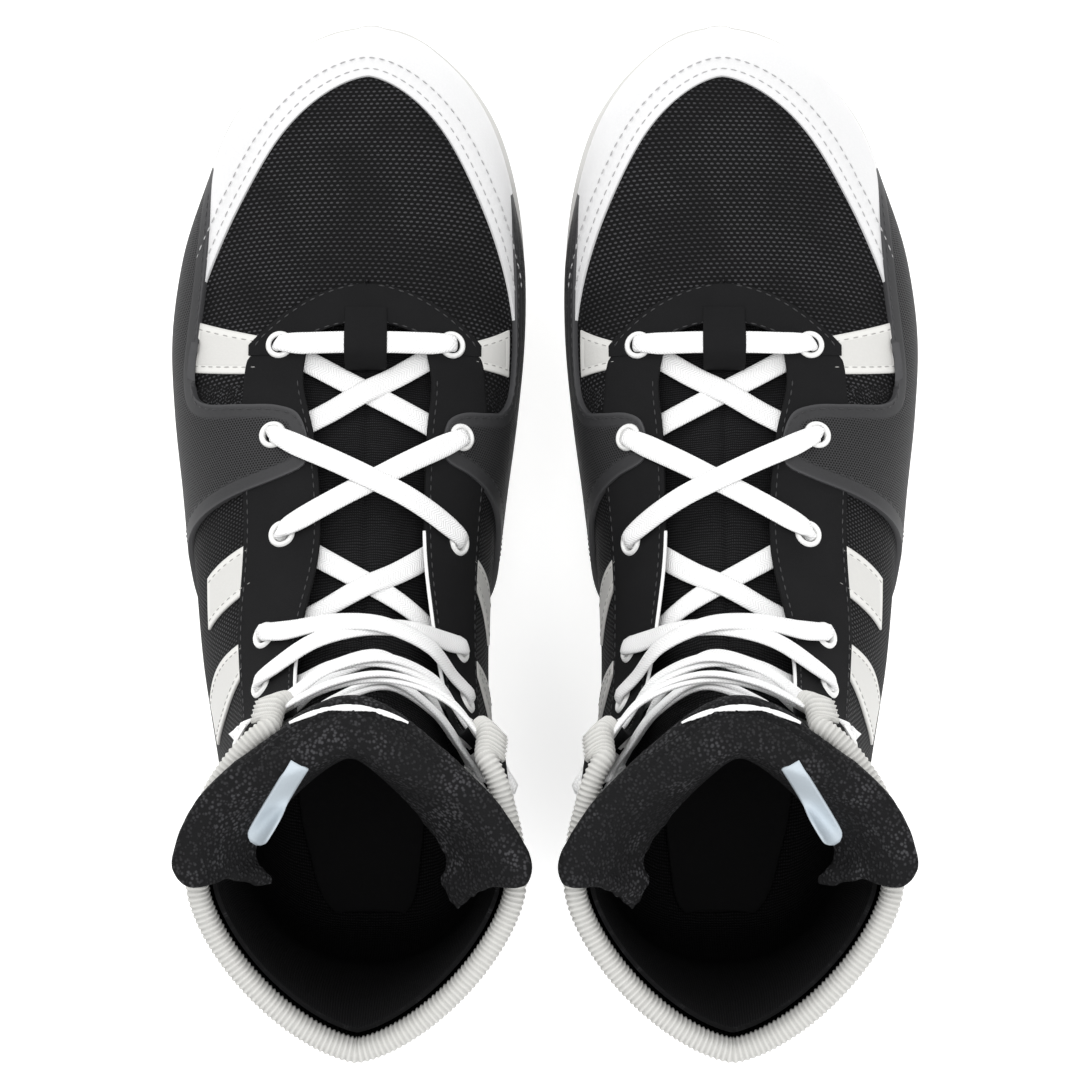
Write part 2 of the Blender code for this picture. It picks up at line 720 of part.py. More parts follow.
def lace_route():
    """The lace from end to end: down to the straight bar on one side, up again on the other."""
    turns = [(9 - k, LATERAL if k % 2 == 0 else MEDIAL) for k in range(9)]
    turns += [(row, -side) for row, side in reversed(turns)]
    points = list(reversed(lace_end(LATERAL)))
    for k, (row, side) in enumerate(turns):
        place = hole(row, side)
        if k > 0:
            upper = k < 9
            if k == 9:
                heights = (1.9, 1.4, 1.9)
            elif k % 2 == 1:
                heights = (1.9, 2.4 if upper else -0.4, 1.9)
            else:
                heights = (LACE_INSIDE, -2.3 if upper else -5.0, LACE_INSIDE)
            points += run_points(hole(*turns[k - 1]), place, heights)
        passing = [on(*place, LACE_OUTSIDE), on(*place, LACE_INSIDE)]
        points += passing if k % 2 == 1 else reversed(passing)
    return points + lace_end(MEDIAL)


def tube(boot, name, points, radius, finish):
    """A round cord through the points, with filled ends."""
    curve = bpy.data.curves.new(name, "CURVE")
    curve.dimensions = "3D"
    curve.bevel_depth = radius * MM
    curve.bevel_resolution = 0 if radius < AGLET_RADIUS else 2
    curve.use_fill_caps = True
    spline = curve.splines.new("POLY")
    spline.points.add(len(points) - 1)
    for knot, point in zip(spline.points, points):
        knot.co = (*boot.place(point), 1.0)
    boot.add(name, curve, finish)


def make_lace(boot):
    """The lace through all the holes, and the aglet on each end."""
    tube(boot, "lace", lace_route(), LACE_RADIUS, "white_lace")
    for side, name in ((LATERAL, "lateral_aglet"), (MEDIAL, "medial_aglet")):
        tube(boot, name, [tucked(t, side) for t in (16.1, 15.2, 14.4)], AGLET_RADIUS,
             "white_eyelet")


def build_boot(hand, collection, cutters):
    boot = Boot(hand, collection, cutters)
    make_soles(boot)
    make_lining(boot)
    make_toe(boot)
    make_sides(boot)
    make_facings(boot)
    make_patches(boot)
    make_collar(boot)
    make_tongue(boot)
    make_lace(boot)


def main():
    clear_scene()
    collection = new_collection("boxing_boots")
    cutters = new_collection("cutters")
    for hand in (LEFT, RIGHT):
        build_boot(hand, collection, cutters)


main()
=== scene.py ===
"""A pair of boxing boots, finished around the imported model: every panel, tape, stitch and lace.

One boot is made at the left and its mirror image gives the right one. The upper is a lofted form
that every panel lies on: a place on it is (t, arc), where t counts the sections from the toe tip
to the collar and arc is the distance in millimetres from the lacing line, less than zero on the
outer side of the foot and more than zero on the inner side.
"""

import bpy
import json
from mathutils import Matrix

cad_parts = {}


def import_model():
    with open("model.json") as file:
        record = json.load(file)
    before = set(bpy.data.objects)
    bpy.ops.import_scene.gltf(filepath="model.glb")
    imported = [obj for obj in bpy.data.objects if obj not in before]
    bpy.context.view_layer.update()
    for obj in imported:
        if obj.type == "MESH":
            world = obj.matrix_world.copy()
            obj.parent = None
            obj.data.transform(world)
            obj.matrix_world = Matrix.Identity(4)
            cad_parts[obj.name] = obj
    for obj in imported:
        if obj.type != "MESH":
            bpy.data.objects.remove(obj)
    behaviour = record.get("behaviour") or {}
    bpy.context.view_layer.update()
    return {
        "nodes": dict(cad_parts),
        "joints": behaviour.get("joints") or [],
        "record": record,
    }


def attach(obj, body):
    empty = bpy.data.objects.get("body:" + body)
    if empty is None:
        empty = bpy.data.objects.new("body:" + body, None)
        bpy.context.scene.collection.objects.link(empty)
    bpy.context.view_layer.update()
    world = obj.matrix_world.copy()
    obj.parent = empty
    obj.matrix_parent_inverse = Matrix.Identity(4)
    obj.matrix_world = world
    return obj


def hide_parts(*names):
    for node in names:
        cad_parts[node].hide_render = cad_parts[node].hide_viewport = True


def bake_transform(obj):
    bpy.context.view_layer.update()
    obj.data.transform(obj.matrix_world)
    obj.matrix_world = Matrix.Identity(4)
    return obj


bl_info = {
    "name": "Boxing boots",
    "version": (1, 0, 0),
    "blender": (4, 5, 0),
    "location": "View3D > Sidebar > Boots",
    "description": "Builds the pieces of a pair of boxing boots around their packed model",
    "category": "Object",
}

import contextlib
import itertools
import json
import math

import bmesh
import bpy
import numpy as np
from bpy.props import FloatProperty, FloatVectorProperty, PointerProperty
from mathutils import Matrix, Vector
from mathutils.bvhtree import BVHTree
from mathutils.kdtree import KDTree

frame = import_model()
MM = 0.001
OUTER, INNER = -1, 1            # sides of the foot
SIDES = ((OUTER, "lateral"), (INNER, "medial"))

# Where the left boot stands, in millimetres: its lacing line from the pair's middle plane, and
# the shift of its own millimetres along Y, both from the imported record.
REST = next(m for m in frame["record"]["mounts"] if m["name"] == "left_sole_rest")["pos_m"]
FOLD = next(j for j in frame["joints"] if j["name"] == "left_tongue_fold")["pos_m"]
BOOT_X = -REST[0] / MM
FOLD_Y, FOLD_Z = -49.0, 194.5
BOOT_Y = FOLD[1] / MM - FOLD_Y

# The form's sections: lacing line y, z; sole or heel line y, z; half widths outer, inner; middle
# x; roundness of the upper half and of the lower half (2 is an ellipse, 4 is boxy).
SECTIONS = np.array((
    (145.5, 22, 145.5, 16, 3, 3, 0.0, 2.0, 2.0),
    (143.5, 31, 143.0, 13, 12, 11, 0.0, 2.2, 2.4),
    (139.0, 38, 138.0, 12, 22, 19, 0.0, 2.3, 3.0),
    (129.0, 45, 128.0, 10.5, 33, 29, 0.0, 2.3, 3.6),
    (115.0, 50, 114.0, 9, 42.5, 37, 0.0, 2.3, 4.2),
    (96.0, 56, 95.0, 8, 49.5, 42.5, 0.0, 2.3, 4.5),
    (76.0, 62, 74.0, 7.5, 55.0, 45.2, 0.0, 2.3, 4.5),
    (55.0, 68, 50.0, 7.5, 57.8, 45.2, 0.0, 2.3, 4.5),
    (35.0, 76, 24.0, 7.5, 56.8, 43.0, 0.0, 2.3, 4.5),
    (15.0, 86, -6.0, 7.5, 54.0, 39.5, 0.0, 2.3, 4.2),
    (-5.0, 97, -38.0, 7.5, 51.5, 36.5, 0.0, 2.2, 4.0),
    (-20.0, 108, -72.0, 7.5, 49.0, 36.0, 0.0, 2.2, 3.8),
    (-31.0, 121, -106.0, 8, 45.0, 37.0, 0.0, 2.2, 3.8),
    (-38.5, 135, -133.0, 12.5, 42.5, 39.0, 0.3, 2.2, 3.0),
    (-42.5, 149, -142.5, 40, 41.5, 41.0, 0.6, 2.2, 2.3),
    (-44.5, 161, -138.0, 78, 41.5, 42.0, 0.9, 2.3, 2.0),
    (-45.5, 172, -134.5, 116, 42.0, 43.0, 1.1, 2.4, 1.8),
    (-45.5, 183, -135.0, 153, 43.5, 44.0, 1.3, 2.5, 1.65),
    (-44.5, 193, -138.5, 190, 44.8, 44.8, 1.4, 2.5, 1.5),
    (-41.0, 209, -142.0, 208, 46.5, 46.5, 1.4, 2.5, 1.6),
))
LAST = len(SECTIONS) - 1
COLLAR = 18.0                   # t of the collar's edge
T_LENGTH = 20.0                 # millimetres that one step of t is worth, about
SOLE_LINE = 7.5                 # height of the upper's underside

HOLE_ROWS = (7.15, 8.45, 9.8, 11.5, 12.55, 13.7, 14.85, 16.0, 17.15)
HOLE_ARCS = {
    OUTER: (25.5, 27.0, 24.0, 30.0, 33.0, 32.5, 32.0, 31.5, 31.0),
    INNER: (25.5, 29.0, 31.0, 35.5, 40.0, 42.5, 45.0, 47.0, 49.0),
}
FACING_FRONT = {
    OUTER: ((6.95, 17), (7.6, 19), (8.45, 15.5), (9.8, 13), (11.5, 18), (12.55, 20),
            (14.85, 18.5), (16.75, 17.2), (17.2, 18.6), (18, 21.5)),
    INNER: ((6.95, 17), (7.6, 20), (8.45, 19), (9.8, 19), (11.5, 24), (12.55, 28),
            (14.85, 32), (16.75, 31.2), (17.2, 32.6), (18, 35.5)),
}
FACING_BACK = {
    OUTER: ((6.95, 30), (7.2, 34), (7.9, 37), (9.8, 37), (11.5, 42), (12.55, 45), (18, 43)),
    INNER: ((6.95, 30), (7.2, 34), (7.9, 38), (9.8, 42), (11.5, 47.5), (12.55, 52), (18, 61)),
}


# ---------------------------------------------------------------- the form

def smooth(points, x):
    """A smooth line through (x, value) points, read at x."""
    xs, ys = np.array(points, float).T
    slope = np.gradient(ys, xs)
    x = np.clip(x, xs[0], xs[-1])
    i = np.clip(np.searchsorted(xs, x, side="right") - 1, 0, len(xs) - 2)
    width = xs[i + 1] - xs[i]
    f = (x - xs[i]) / width
    return ((2 * f ** 3 - 3 * f ** 2 + 1) * ys[i] + (f ** 3 - 2 * f ** 2 + f) * width * slope[i]
            + (3 * f ** 2 - 2 * f ** 3) * ys[i + 1] + (f ** 3 - f ** 2) * width * slope[i + 1])


def ease(low, high, x):
    """0 below low, 1 above high and a soft step between them."""
    f = np.clip((np.asarray(x, float) - low) / (high - low), 0, 1)
    return f * f * (3 - 2 * f)


def curve(at, table, x):
    """The rows of a table at x, on a smooth curve through the rows, which stand at at."""
    return np.stack([smooth(list(zip(at, column)), x) for column in np.asarray(table).T], axis=1)


def read_off(x, at, table):
    """The rows of a table at x, on straight lines between the rows."""
    return np.stack([np.interp(x, at, column) for column in np.asarray(table).T], axis=1)


def distances(path, scale=1.0, root=False):
    """Distance along a line of points; with root each step counts as its square root."""
    steps = np.linalg.norm(np.diff(path, axis=0) * scale, axis=1)
    return np.concatenate(([0.0], np.cumsum(np.sqrt(steps) if root else steps)))


def widths(grid):
    """Distance along each row of a grid of points."""
    steps = np.linalg.norm(np.diff(grid, axis=1), axis=2).cumsum(axis=1)
    return np.concatenate((np.zeros((len(grid), 1)), steps), axis=1)


def unit(vectors):
    return vectors / np.maximum(np.linalg.norm(vectors, axis=-1, keepdims=True), 1e-9)


class Form:
    """The lofted surface, held as a fine grid of points and outward directions."""

    T_STEP = 0.02
    POLE = 0.5                  # the toe is closed by a small cap before t = 0
    HALF = 160                  # steps on half a section
    TURN = 361                  # points of a half section before it is spaced evenly

    def __init__(self):
        self.t = np.arange(-self.POLE, LAST + self.T_STEP / 2, self.T_STEP)
        rings = [self.ring(t) for t in self.t]
        self.points = np.array([points for points, _ in rings])
        self.lengths = np.array([lengths for _, lengths in rings])
        down = np.gradient(self.points, axis=0)
        wrapped = np.concatenate((self.points[:, -2:-1], self.points, self.points[:, 1:2]), axis=1)
        across = wrapped[:, 2:] - wrapped[:, :-2]
        self.normals = unit(np.cross(down, across))
        self.normals[0] = (0.0, 1.0, 0.0)

    def station(self, t):
        """The section's nine values at t, on a smooth curve through SECTIONS."""
        i = min(int(t), LAST - 1)
        f = t - i
        a, b, c, d = (SECTIONS[max(0, min(LAST, i + k))] for k in (-1, 0, 1, 2))
        bend = (2 * a - 5 * b + 4 * c - d) * f + (3 * b - a - 3 * c + d) * f * f
        return b + 0.5 * f * (c - a + bend)

    def ring(self, t):
        """A whole section from the back of the outer side round to the back of the inner one."""
        if t < 0:
            points, lengths = self.ring(0.0)
            middle = points.mean(axis=0)
            turn = (1 + t / self.POLE) * math.pi / 2
            points = middle + (points - middle) * math.sin(turn)
            points[:, 1] += 0.6 * math.cos(turn)
            return points, np.maximum(lengths * math.sin(turn), 0.01)
        yf, zf, yb, zb, outer, inner, middle, upper, lower = self.station(t)
        angle = np.linspace(0, math.pi, self.TURN)
        power = np.where(angle < math.pi / 2, upper, lower)
        c, s = np.cos(angle), np.abs(np.sin(angle))
        reach = (np.abs(c) ** power + s ** power) ** (-1 / power)
        half = 0.5 * c * reach
        halves, lengths = [], []
        for side, width in ((OUTER, outer), (INNER, inner)):
            points = np.stack((middle + side * width * s * reach,
                               (yf + yb) / 2 + half * (yf - yb),
                               (zf + zb) / 2 + half * (zf - zb)), axis=1)
            run = distances(points)
            halves.append(read_off(np.linspace(0, run[-1], self.HALF + 1), run, points))
            lengths.append(run[-1])
        return np.concatenate((halves[0][::-1], halves[1][1:])), np.array(lengths)

    def length(self, t, side):
        """Distance along a section from the lacing line to its back line."""
        return np.interp(t, self.t, self.lengths[:, 0 if side == OUTER else 1])

    def read(self, t, share, height=0.0):
        """Points and outward directions at t and share, from -1 through the lacing line to 1."""
        t, share, height = np.broadcast_arrays(*(np.asarray(x, float) for x in (t, share, height)))
        share = (share + 1) % 2 - 1 if np.any(np.abs(share) > 1) else share
        a = np.clip((t + self.POLE) / self.T_STEP, 0, len(self.t) - 1.001)
        b = np.clip((share + 1) * self.HALF, 0, 2 * self.HALF - 0.001)
        i, j = a.astype(int), b.astype(int)
        fa, fb = (a - i)[..., None], (b - j)[..., None]

        def mixed(grid):
            near = grid[i, j] * (1 - fb) + grid[i, j + 1] * fb
            far = grid[i + 1, j] * (1 - fb) + grid[i + 1, j + 1] * fb
            return near * (1 - fa) + far * fa

        out = unit(mixed(self.normals))
        return mixed(self.points) + out * height[..., None], out

    def share(self, t, arc):
        """The share of a signed distance from the lacing line."""
        outer, inner = arc / self.length(t, OUTER), arc / self.length(t, INNER)
        return np.where(np.asarray(arc) < 0, outer, inner)

    def lay(self, t, arc, height=0.0):
        return self.read(t, self.share(t, arc), height)

    def level(self, t, side, rise):
        """The share at which the surface stands rise above the sole line, or 1 past the heel."""
        found = []
        rises = np.broadcast_to(rise, np.shape(t))
        for place, wanted in zip(np.ravel(t), np.ravel(rises)):
            shares = np.linspace(0.25, 1, 301)
            points, _ = self.read(place, shares * side)
            above = points[:, 2] - ground(points[:, 1]) - wanted
            under = np.nonzero(above < 0)[0]
            if len(under) == 0:
                found.append(1.0)
                continue
            last = max(under[0] - 1, 0)
            fall = max(above[last] - above[under[0]], 1e-6)
            found.append(shares[last] + (shares[1] - shares[0]) * above[last] / fall)
        return np.array(found).reshape(np.shape(t))


def ground(y):
    """Height of the upper's underside at y, over the toe spring."""
    return SOLE_LINE + 0.0012 * np.maximum(0.0, y - 85.0) ** 2


FORM = Form()


def world(points):
    """The left boot's own millimetres as metres in the shared frame."""
    points = np.asarray(points, float)
    return (points + np.array((-BOOT_X, BOOT_Y, 0.0))) * MM


# ---------------------------------------------------------------- mesh helpers

def line(points, count, curved=True):
    """count + 1 evenly spaced points of a line through the given (t, arc) or 3-D points."""
    knots = np.array(points, float)
    scale = np.array((T_LENGTH, 1.0)) if knots.shape[1] == 2 else np.ones(3)
    at = distances(knots, scale, root=curved)
    fine = np.linspace(0, at[-1], 40 * (len(knots) - 1) + 1)
    bent = curved and len(knots) > 2
    dense = curve(at, knots, fine) if bent else read_off(fine, at, knots)
    run = distances(dense, scale)
    return read_off(np.linspace(0, run[-1], count + 1), run, dense)


def patch(start, end, low, high):
    """A grid of (t, arc) places that fills four edges: low and high run from start to end."""
    rows, columns = len(low) - 1, len(start) - 1
    v = np.linspace(0, 1, rows + 1)[:, None, None]
    u = np.linspace(0, 1, columns + 1)[None, :, None]
    across = (1 - u) * low[:, None] + u * high[:, None]
    along = (1 - v) * start[None] + v * end[None]
    corners = ((1 - v) * ((1 - u) * start[0] + u * start[-1])
               + v * ((1 - u) * end[0] + u * end[-1]))
    return across + along - corners


def mesh_of(name, shape):
    """A bmesh as a new mesh."""
    mesh = bpy.data.meshes.new(name)
    shape.to_mesh(mesh)
    shape.free()
    return mesh


@contextlib.contextmanager
def edited(mesh):
    """A bmesh of a mesh, which goes back into it at the end."""
    shape = bmesh.new()
    shape.from_mesh(mesh)
    yield shape
    shape.to_mesh(mesh)
    shape.free()


def vertex_values(mesh, what="co"):
    """The place, or another vector, of every vertex."""
    flat = np.zeros(len(mesh.vertices) * 3, np.float32)
    mesh.vertices.foreach_get(what, flat)
    return flat.reshape(-1, 3).astype(float)


def set_points(mesh, points):
    """Moves the vertices to points in metres."""
    mesh.vertices.foreach_set("co", points.astype(np.float32).ravel())
    mesh.update()


def tree_of(points):
    """A search tree that finds the nearest of the points."""
    tree = KDTree(len(points))
    for k, point in enumerate(points):
        tree.insert(point, k)
    tree.balance()
    return tree


def grid_mesh(name, columns, rows):
    """A flat grid mesh, and the column and row number of each of its points."""
    grid = bmesh.new()
    bmesh.ops.create_grid(grid, x_segments=columns, y_segments=rows, size=0.5)
    mesh = mesh_of(name, grid)
    flat = vertex_values(mesh)
    column = np.rint((flat[:, 0] + 0.5) * columns).astype(int)
    row = np.rint((flat[:, 1] + 0.5) * rows).astype(int)
    return mesh, column, row


def point_values(mesh, name, values):
    """Stores one number for each point of a mesh."""
    held = mesh.attributes.new(name, "FLOAT", "POINT")
    held.data.foreach_set("value", np.asarray(values, np.float32))


def corner_uv(mesh, uv):
    """Stores a UV map from one (u, v) for each point, in millimetres."""
    layer = mesh.uv_layers.new(name="cloth")
    corners = np.zeros(len(mesh.loops), np.int32)
    mesh.loops.foreach_get("vertex_index", corners)
    layer.data.foreach_set("uv", np.asarray(uv, np.float32)[corners].ravel())


def link(mesh):
    """Makes the mesh an object of the scene, shaded smooth."""
    mesh.shade_smooth()
    piece = bpy.data.objects.new(mesh.name, mesh)
    bpy.context.scene.collection.objects.link(piece)
    return piece


def cloth_map(across, along):
    """The (u, v) of a grid of points from their distances across it and along it."""
    return np.stack((across, along[:, None] + np.zeros_like(across)), axis=2)


def draped(name, points, out, uv=None):
    """An object from a grid of points (rows, columns, 3) with outward directions."""
    rows, columns = points.shape[0] - 1, points.shape[1] - 1
    mesh, column, row = grid_mesh(name, columns, rows)
    set_points(mesh, world(points[row, column]))
    if uv is None:
        across = widths(points)
        across -= across[:, columns // 2, None]
        uv = cloth_map(across, distances(points[:, columns // 2]))
    corner_uv(mesh, uv[row, column])
    if (vertex_values(mesh, "normal") * out[row, column]).sum() < 0:
        mesh.flip_normals()
    return link(mesh)


def merge(piece, distance=0.02):
    """Merges the points of a piece that meet, and mends its faces."""
    with edited(piece.data) as shape:
        bmesh.ops.remove_doubles(shape, verts=shape.verts, dist=distance * MM)
        bmesh.ops.dissolve_degenerate(shape, dist=distance * MM / 4, edges=shape.edges)
    piece.data.update()


def close(mesh, distance=0.002):
    """Merges the points of a tube that meet, fills its ends and turns its faces outwards."""
    with edited(mesh) as shape:
        bmesh.ops.remove_doubles(shape, verts=shape.verts, dist=distance * MM)
        rim = [e for e in shape.edges if e.is_boundary]
        bmesh.ops.holes_fill(shape, edges=rim, sides=0)
        bmesh.ops.recalc_face_normals(shape, faces=shape.faces)
    mesh.shade_smooth()


def rim_values(piece):
    """Stores each point's distance in millimetres from the piece's open edge, as rim."""
    mesh = piece.data
    shape = bmesh.new()
    shape.from_mesh(mesh)
    tree = tree_of([v.co.copy() for v in shape.verts if v.is_boundary])
    shape.free()
    point_values(mesh, "rim", [tree.find(v.co)[2] / MM for v in mesh.vertices])


def flatten(piece):
    """Unwraps a panel as a flat cutting pattern in millimetres, its middle column upright."""
    mesh = piece.data

    def corners():
        uv = np.zeros(len(mesh.loops) * 2, np.float32)
        mesh.uv_layers["cloth"].data.foreach_get("uv", uv)
        uv = uv.reshape(-1, 2)
        return uv - uv.mean(axis=0)

    wanted = corners()
    bpy.ops.object.select_all(action="DESELECT")
    piece.select_set(True)
    bpy.context.view_layer.objects.active = piece
    bpy.ops.object.mode_set(mode="EDIT")
    bpy.ops.mesh.select_all(action="SELECT")
    bpy.ops.uv.unwrap(method="CONFORMAL", margin=0.0)
    bpy.ops.object.mode_set(mode="OBJECT")
    piece.select_set(False)
    spread = corners()
    left, _, right = np.linalg.svd(spread.T @ wanted)
    fitted = spread @ (left @ right)
    fitted *= (fitted * wanted).sum() / (fitted ** 2).sum()
    mesh.uv_layers["cloth"].data.foreach_set("uv", fitted.astype(np.float32).ravel())


def thick(piece, thickness, edge=0.3, segments=2):
    """Gives an open sheet its thickness in millimetres, inwards, with rounded edges."""
    wall = piece.modifiers.new("thickness", "SOLIDIFY")
    wall.thickness = thickness * MM
    wall.offset = -1.0
    wall.use_quality_normals = True
    if edge:
        soft = piece.modifiers.new("edge", "BEVEL")
        soft.width = edge * MM
        soft.segments = segments
        soft.limit_method = "ANGLE"
        soft.angle_limit = math.radians(50)
        soft.harden_normals = False
    return piece


def apply_all(piece):
    """Applies a piece's modifiers to its mesh."""
    graph = bpy.context.evaluated_depsgraph_get()
    shown = piece.evaluated_get(graph)
    mesh = bpy.data.meshes.new_from_object(shown, preserve_all_data_layers=True, depsgraph=graph)
    old = piece.data
    piece.modifiers.clear()
    piece.data = mesh
    bpy.data.meshes.remove(old)
    mesh.name = piece.name
    return piece


def sweep(name, path, wide, outline):
    """A bar along path: outline holds (across, up) offsets in millimetres for each path point.

    wide is the direction of across at each path point.
    """
    path = np.asarray(path, float)
    along = unit(np.gradient(path, axis=0))
    wide = unit(wide - (wide * along).sum(axis=1, keepdims=True) * along)
    up = np.cross(wide, along)
    outline = np.broadcast_to(outline, (len(path),) + np.shape(outline)[-2:])
    loop = np.concatenate((outline, outline[:, :1]), axis=1)
    points = path[:, None] + loop[..., :1] * wide[:, None] + loop[..., 1:] * up[:, None]
    uv = cloth_map(widths(loop), distances(path))
    piece = draped(name, points, points - path[:, None], uv)
    close(piece.data)
    return piece


def rounded(width, height, count=12, power=2.6):
    """The outline of a flattened cord: (across, up) points."""
    angle = np.linspace(0, 2 * math.pi, count, endpoint=False)
    c, s = np.cos(angle), np.sin(angle)
    reach = (np.abs(c) ** power + np.abs(s) ** power) ** (-1 / power)
    return np.stack((width / 2 * c * reach, height / 2 * s * reach), axis=1)


def inset(points, distance, side="low"):
    """The line on a panel's grid of points that runs at a distance from one of its edges."""
    grid = {"low": points, "high": points[:, ::-1], "start": points.transpose(1, 0, 2),
            "end": points.transpose(1, 0, 2)[:, ::-1]}[side]
    return np.concatenate([read_off([distance], distances(row), row) for row in grid])


def resample(path, step):
    """Points of a 3-D line at an even step."""
    run = distances(path)
    return read_off(np.linspace(0, run[-1], max(2, int(round(run[-1] / step)) + 1)), run, path)


NEAR_EVERY = 4                  # of the form's points, one in so many serves a search
FLAT_POINTS = FORM.points[::NEAR_EVERY, ::NEAR_EVERY].reshape(-1, 3)
FLAT_NORMALS = FORM.normals[::NEAR_EVERY, ::NEAR_EVERY].reshape(-1, 3)
FORM_TREE = tree_of(FLAT_POINTS)


def outward(points):
    """Outward directions of the form nearest to points of its own millimetres."""
    return np.array([FLAT_NORMALS[FORM_TREE.find(p)[1]] for p in points])


def stitches(name, paths, length=2.1, gap=0.9, thread=0.45):
    """Rows of single stitches: each a small rounded bead sunk a little into the panel."""
    bead = bmesh.new()
    bmesh.ops.create_uvsphere(bead, u_segments=6, v_segments=4, radius=1.0)
    bmesh.ops.scale(bead, vec=(thread / 2 * MM, length / 2 * MM, thread / 2 * MM), verts=bead.verts)
    single = mesh_of("single_stitch", bead)
    shape = bmesh.new()
    for path in paths:
        dots = resample(path, length + gap)
        middles = (dots[1:] + dots[:-1]) / 2
        ways = unit(dots[1:] - dots[:-1])
        for middle, way, out in zip(middles, ways, outward(middles)):
            across = np.cross(way, out)
            turn = Matrix((unit(across), way, unit(np.cross(across, way)))).transposed().to_4x4()
            place = Matrix.Translation(Vector(world(middle))) @ turn
            single.transform(place)
            shape.from_mesh(single)
            single.transform(place.inverted())
    bmesh.ops.recalc_face_normals(shape, faces=shape.faces)
    bpy.data.meshes.remove(single)
    return link(mesh_of(name, shape))


def pair(piece, finish, slot, *nodes, body="boot", fill=None, bend=None):
    """Finishes a left piece, makes its mirror image for the right boot, and places both."""
    piece.data.materials.clear()
    piece.data.materials.append(finish_of(finish))
    twin = piece.copy()
    twin.data = piece.data.copy()
    twin.name = piece.name.replace("left_", "right_")
    twin.data.transform(Matrix.Diagonal((-1.0, 1.0, 1.0, 1.0)))
    twin.data.flip_normals()
    bpy.context.scene.collection.objects.link(twin)
    for made, hand in ((piece, "left"), (twin, "right")):
        if bend:
            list(bend)
            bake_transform(made)
        else:
            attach(made, f"{hand}_{body}")
        if nodes:
            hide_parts(*[f"{hand}_{node}" for node in nodes])


# ---------------------------------------------------------------- finishes

def maths(operation, turned=False):
    """A method that adds one Math node; turned puts the value itself last."""

    def method(value, *others):
        values = (*others, value) if turned else (value, *others)
        return value.finish.node("ShaderNodeMath", {"operation": operation}, *values)

    return method


class Value:
    """A shader socket that sums can be written on."""

    __add__ = __radd__ = maths("ADD")
    __mul__ = __rmul__ = maths("MULTIPLY")
    __sub__, __rsub__ = maths("SUBTRACT"), maths("SUBTRACT", turned=True)
    __truediv__, __pow__ = maths("DIVIDE"), maths("POWER")
    fraction, whole = maths("FRACT"), maths("FLOOR")
    size, wave = maths("ABSOLUTE"), maths("SINE")

    def __init__(self, finish, socket):
        self.finish = finish
        self.socket = socket

    def step(self, low, high):
        """0 below low, 1 above high, with a soft step between."""
        settings = {"interpolation_type": "SMOOTHSTEP"}
        return self.finish.node("ShaderNodeMapRange", settings, self, low, high, 0.0, 1.0)


class Finish:
    """One procedural material and the one way in which its nodes are made."""

    def __init__(self, name, colour, roughness, specular=0.5):
        self.material = bpy.data.materials.new(name)
        self.material.use_nodes = True
        self.tree = self.material.node_tree
        self.shader = self.tree.nodes["Principled BSDF"]
        self.shader.inputs["Base Color"].default_value = (*colour, 1.0)
        self.shader.inputs["Roughness"].default_value = roughness
        self.shader.inputs["Specular IOR Level"].default_value = specular

    def node(self, kind, settings=None, *values, output=0, **named):
        """Makes a node, sets it, then gives its sockets values or links; returns an output."""
        made = self.tree.nodes.new(kind)
        for key, value in (settings or {}).items():
            setattr(made, key, value)
        for key, value in (*enumerate(values), *named.items()):
            socket = made.inputs[key]
            if isinstance(value, Value):
                self.tree.links.new(value.socket, socket)
            else:
                socket.default_value = value
        return Value(self, made.outputs[output])

    def object_place(self):
        return self.node("ShaderNodeTexCoord", output="Object")

    def cloth(self):
        """The piece's own map in millimetres, as two numbers."""
        held = self.node("ShaderNodeUVMap", {"uv_map": "cloth"})
        split = self.node("ShaderNodeSeparateXYZ", None, held)
        return split, Value(self, split.socket.node.outputs[1])

    def rim(self):
        """Distance from the panel's edge in millimetres."""
        return self.node("ShaderNodeAttribute", {"attribute_name": "rim"}, output="Fac")

    def noise(self, scale, detail=2.0, roughness=0.5):
        """Noise whose features are 1 / scale metres apart."""
        return self.node("ShaderNodeTexNoise", None, Vector=self.object_place(), Scale=scale,
                         Detail=detail, Roughness=roughness)

    def grain(self, scale):
        """Distance from the middle of the nearest cell, in cells of 1 / scale metres."""
        return self.node("ShaderNodeTexVoronoi", {"feature": "F1"}, Vector=self.object_place(),
                         Scale=scale)

    def mixed(self, factor, first, second):
        """A colour between two colours."""
        made = self.tree.nodes.new("ShaderNodeMix")
        made.data_type = "RGBA"
        for key, value in ((0, factor), (6, first), (7, second)):
            if isinstance(value, Value):
                self.tree.links.new(value.socket, made.inputs[key])
            else:
                made.inputs[key].default_value = value if key == 0 else (*value, 1.0)
        return Value(self, made.outputs[2])

    def colour(self, value):
        self.tree.links.new(value.socket, self.shader.inputs["Base Color"])

    def rough(self, value):
        self.tree.links.new(value.socket, self.shader.inputs["Roughness"])

    def relief(self, height, depth):
        """Bump from a height of 0 to 1 that is worth depth millimetres."""
        bump = self.node("ShaderNodeBump", None, Strength=1.0, Distance=depth * MM, Height=height)
        self.tree.links.new(bump.socket, self.shader.inputs["Normal"])

    def sheen(self, weight, roughness=0.5):
        self.shader.inputs["Sheen Weight"].default_value = weight
        self.shader.inputs["Sheen Roughness"].default_value = roughness
        return self


def tint(colour, factor):
    return tuple(min(1.0, c * factor) for c in colour)


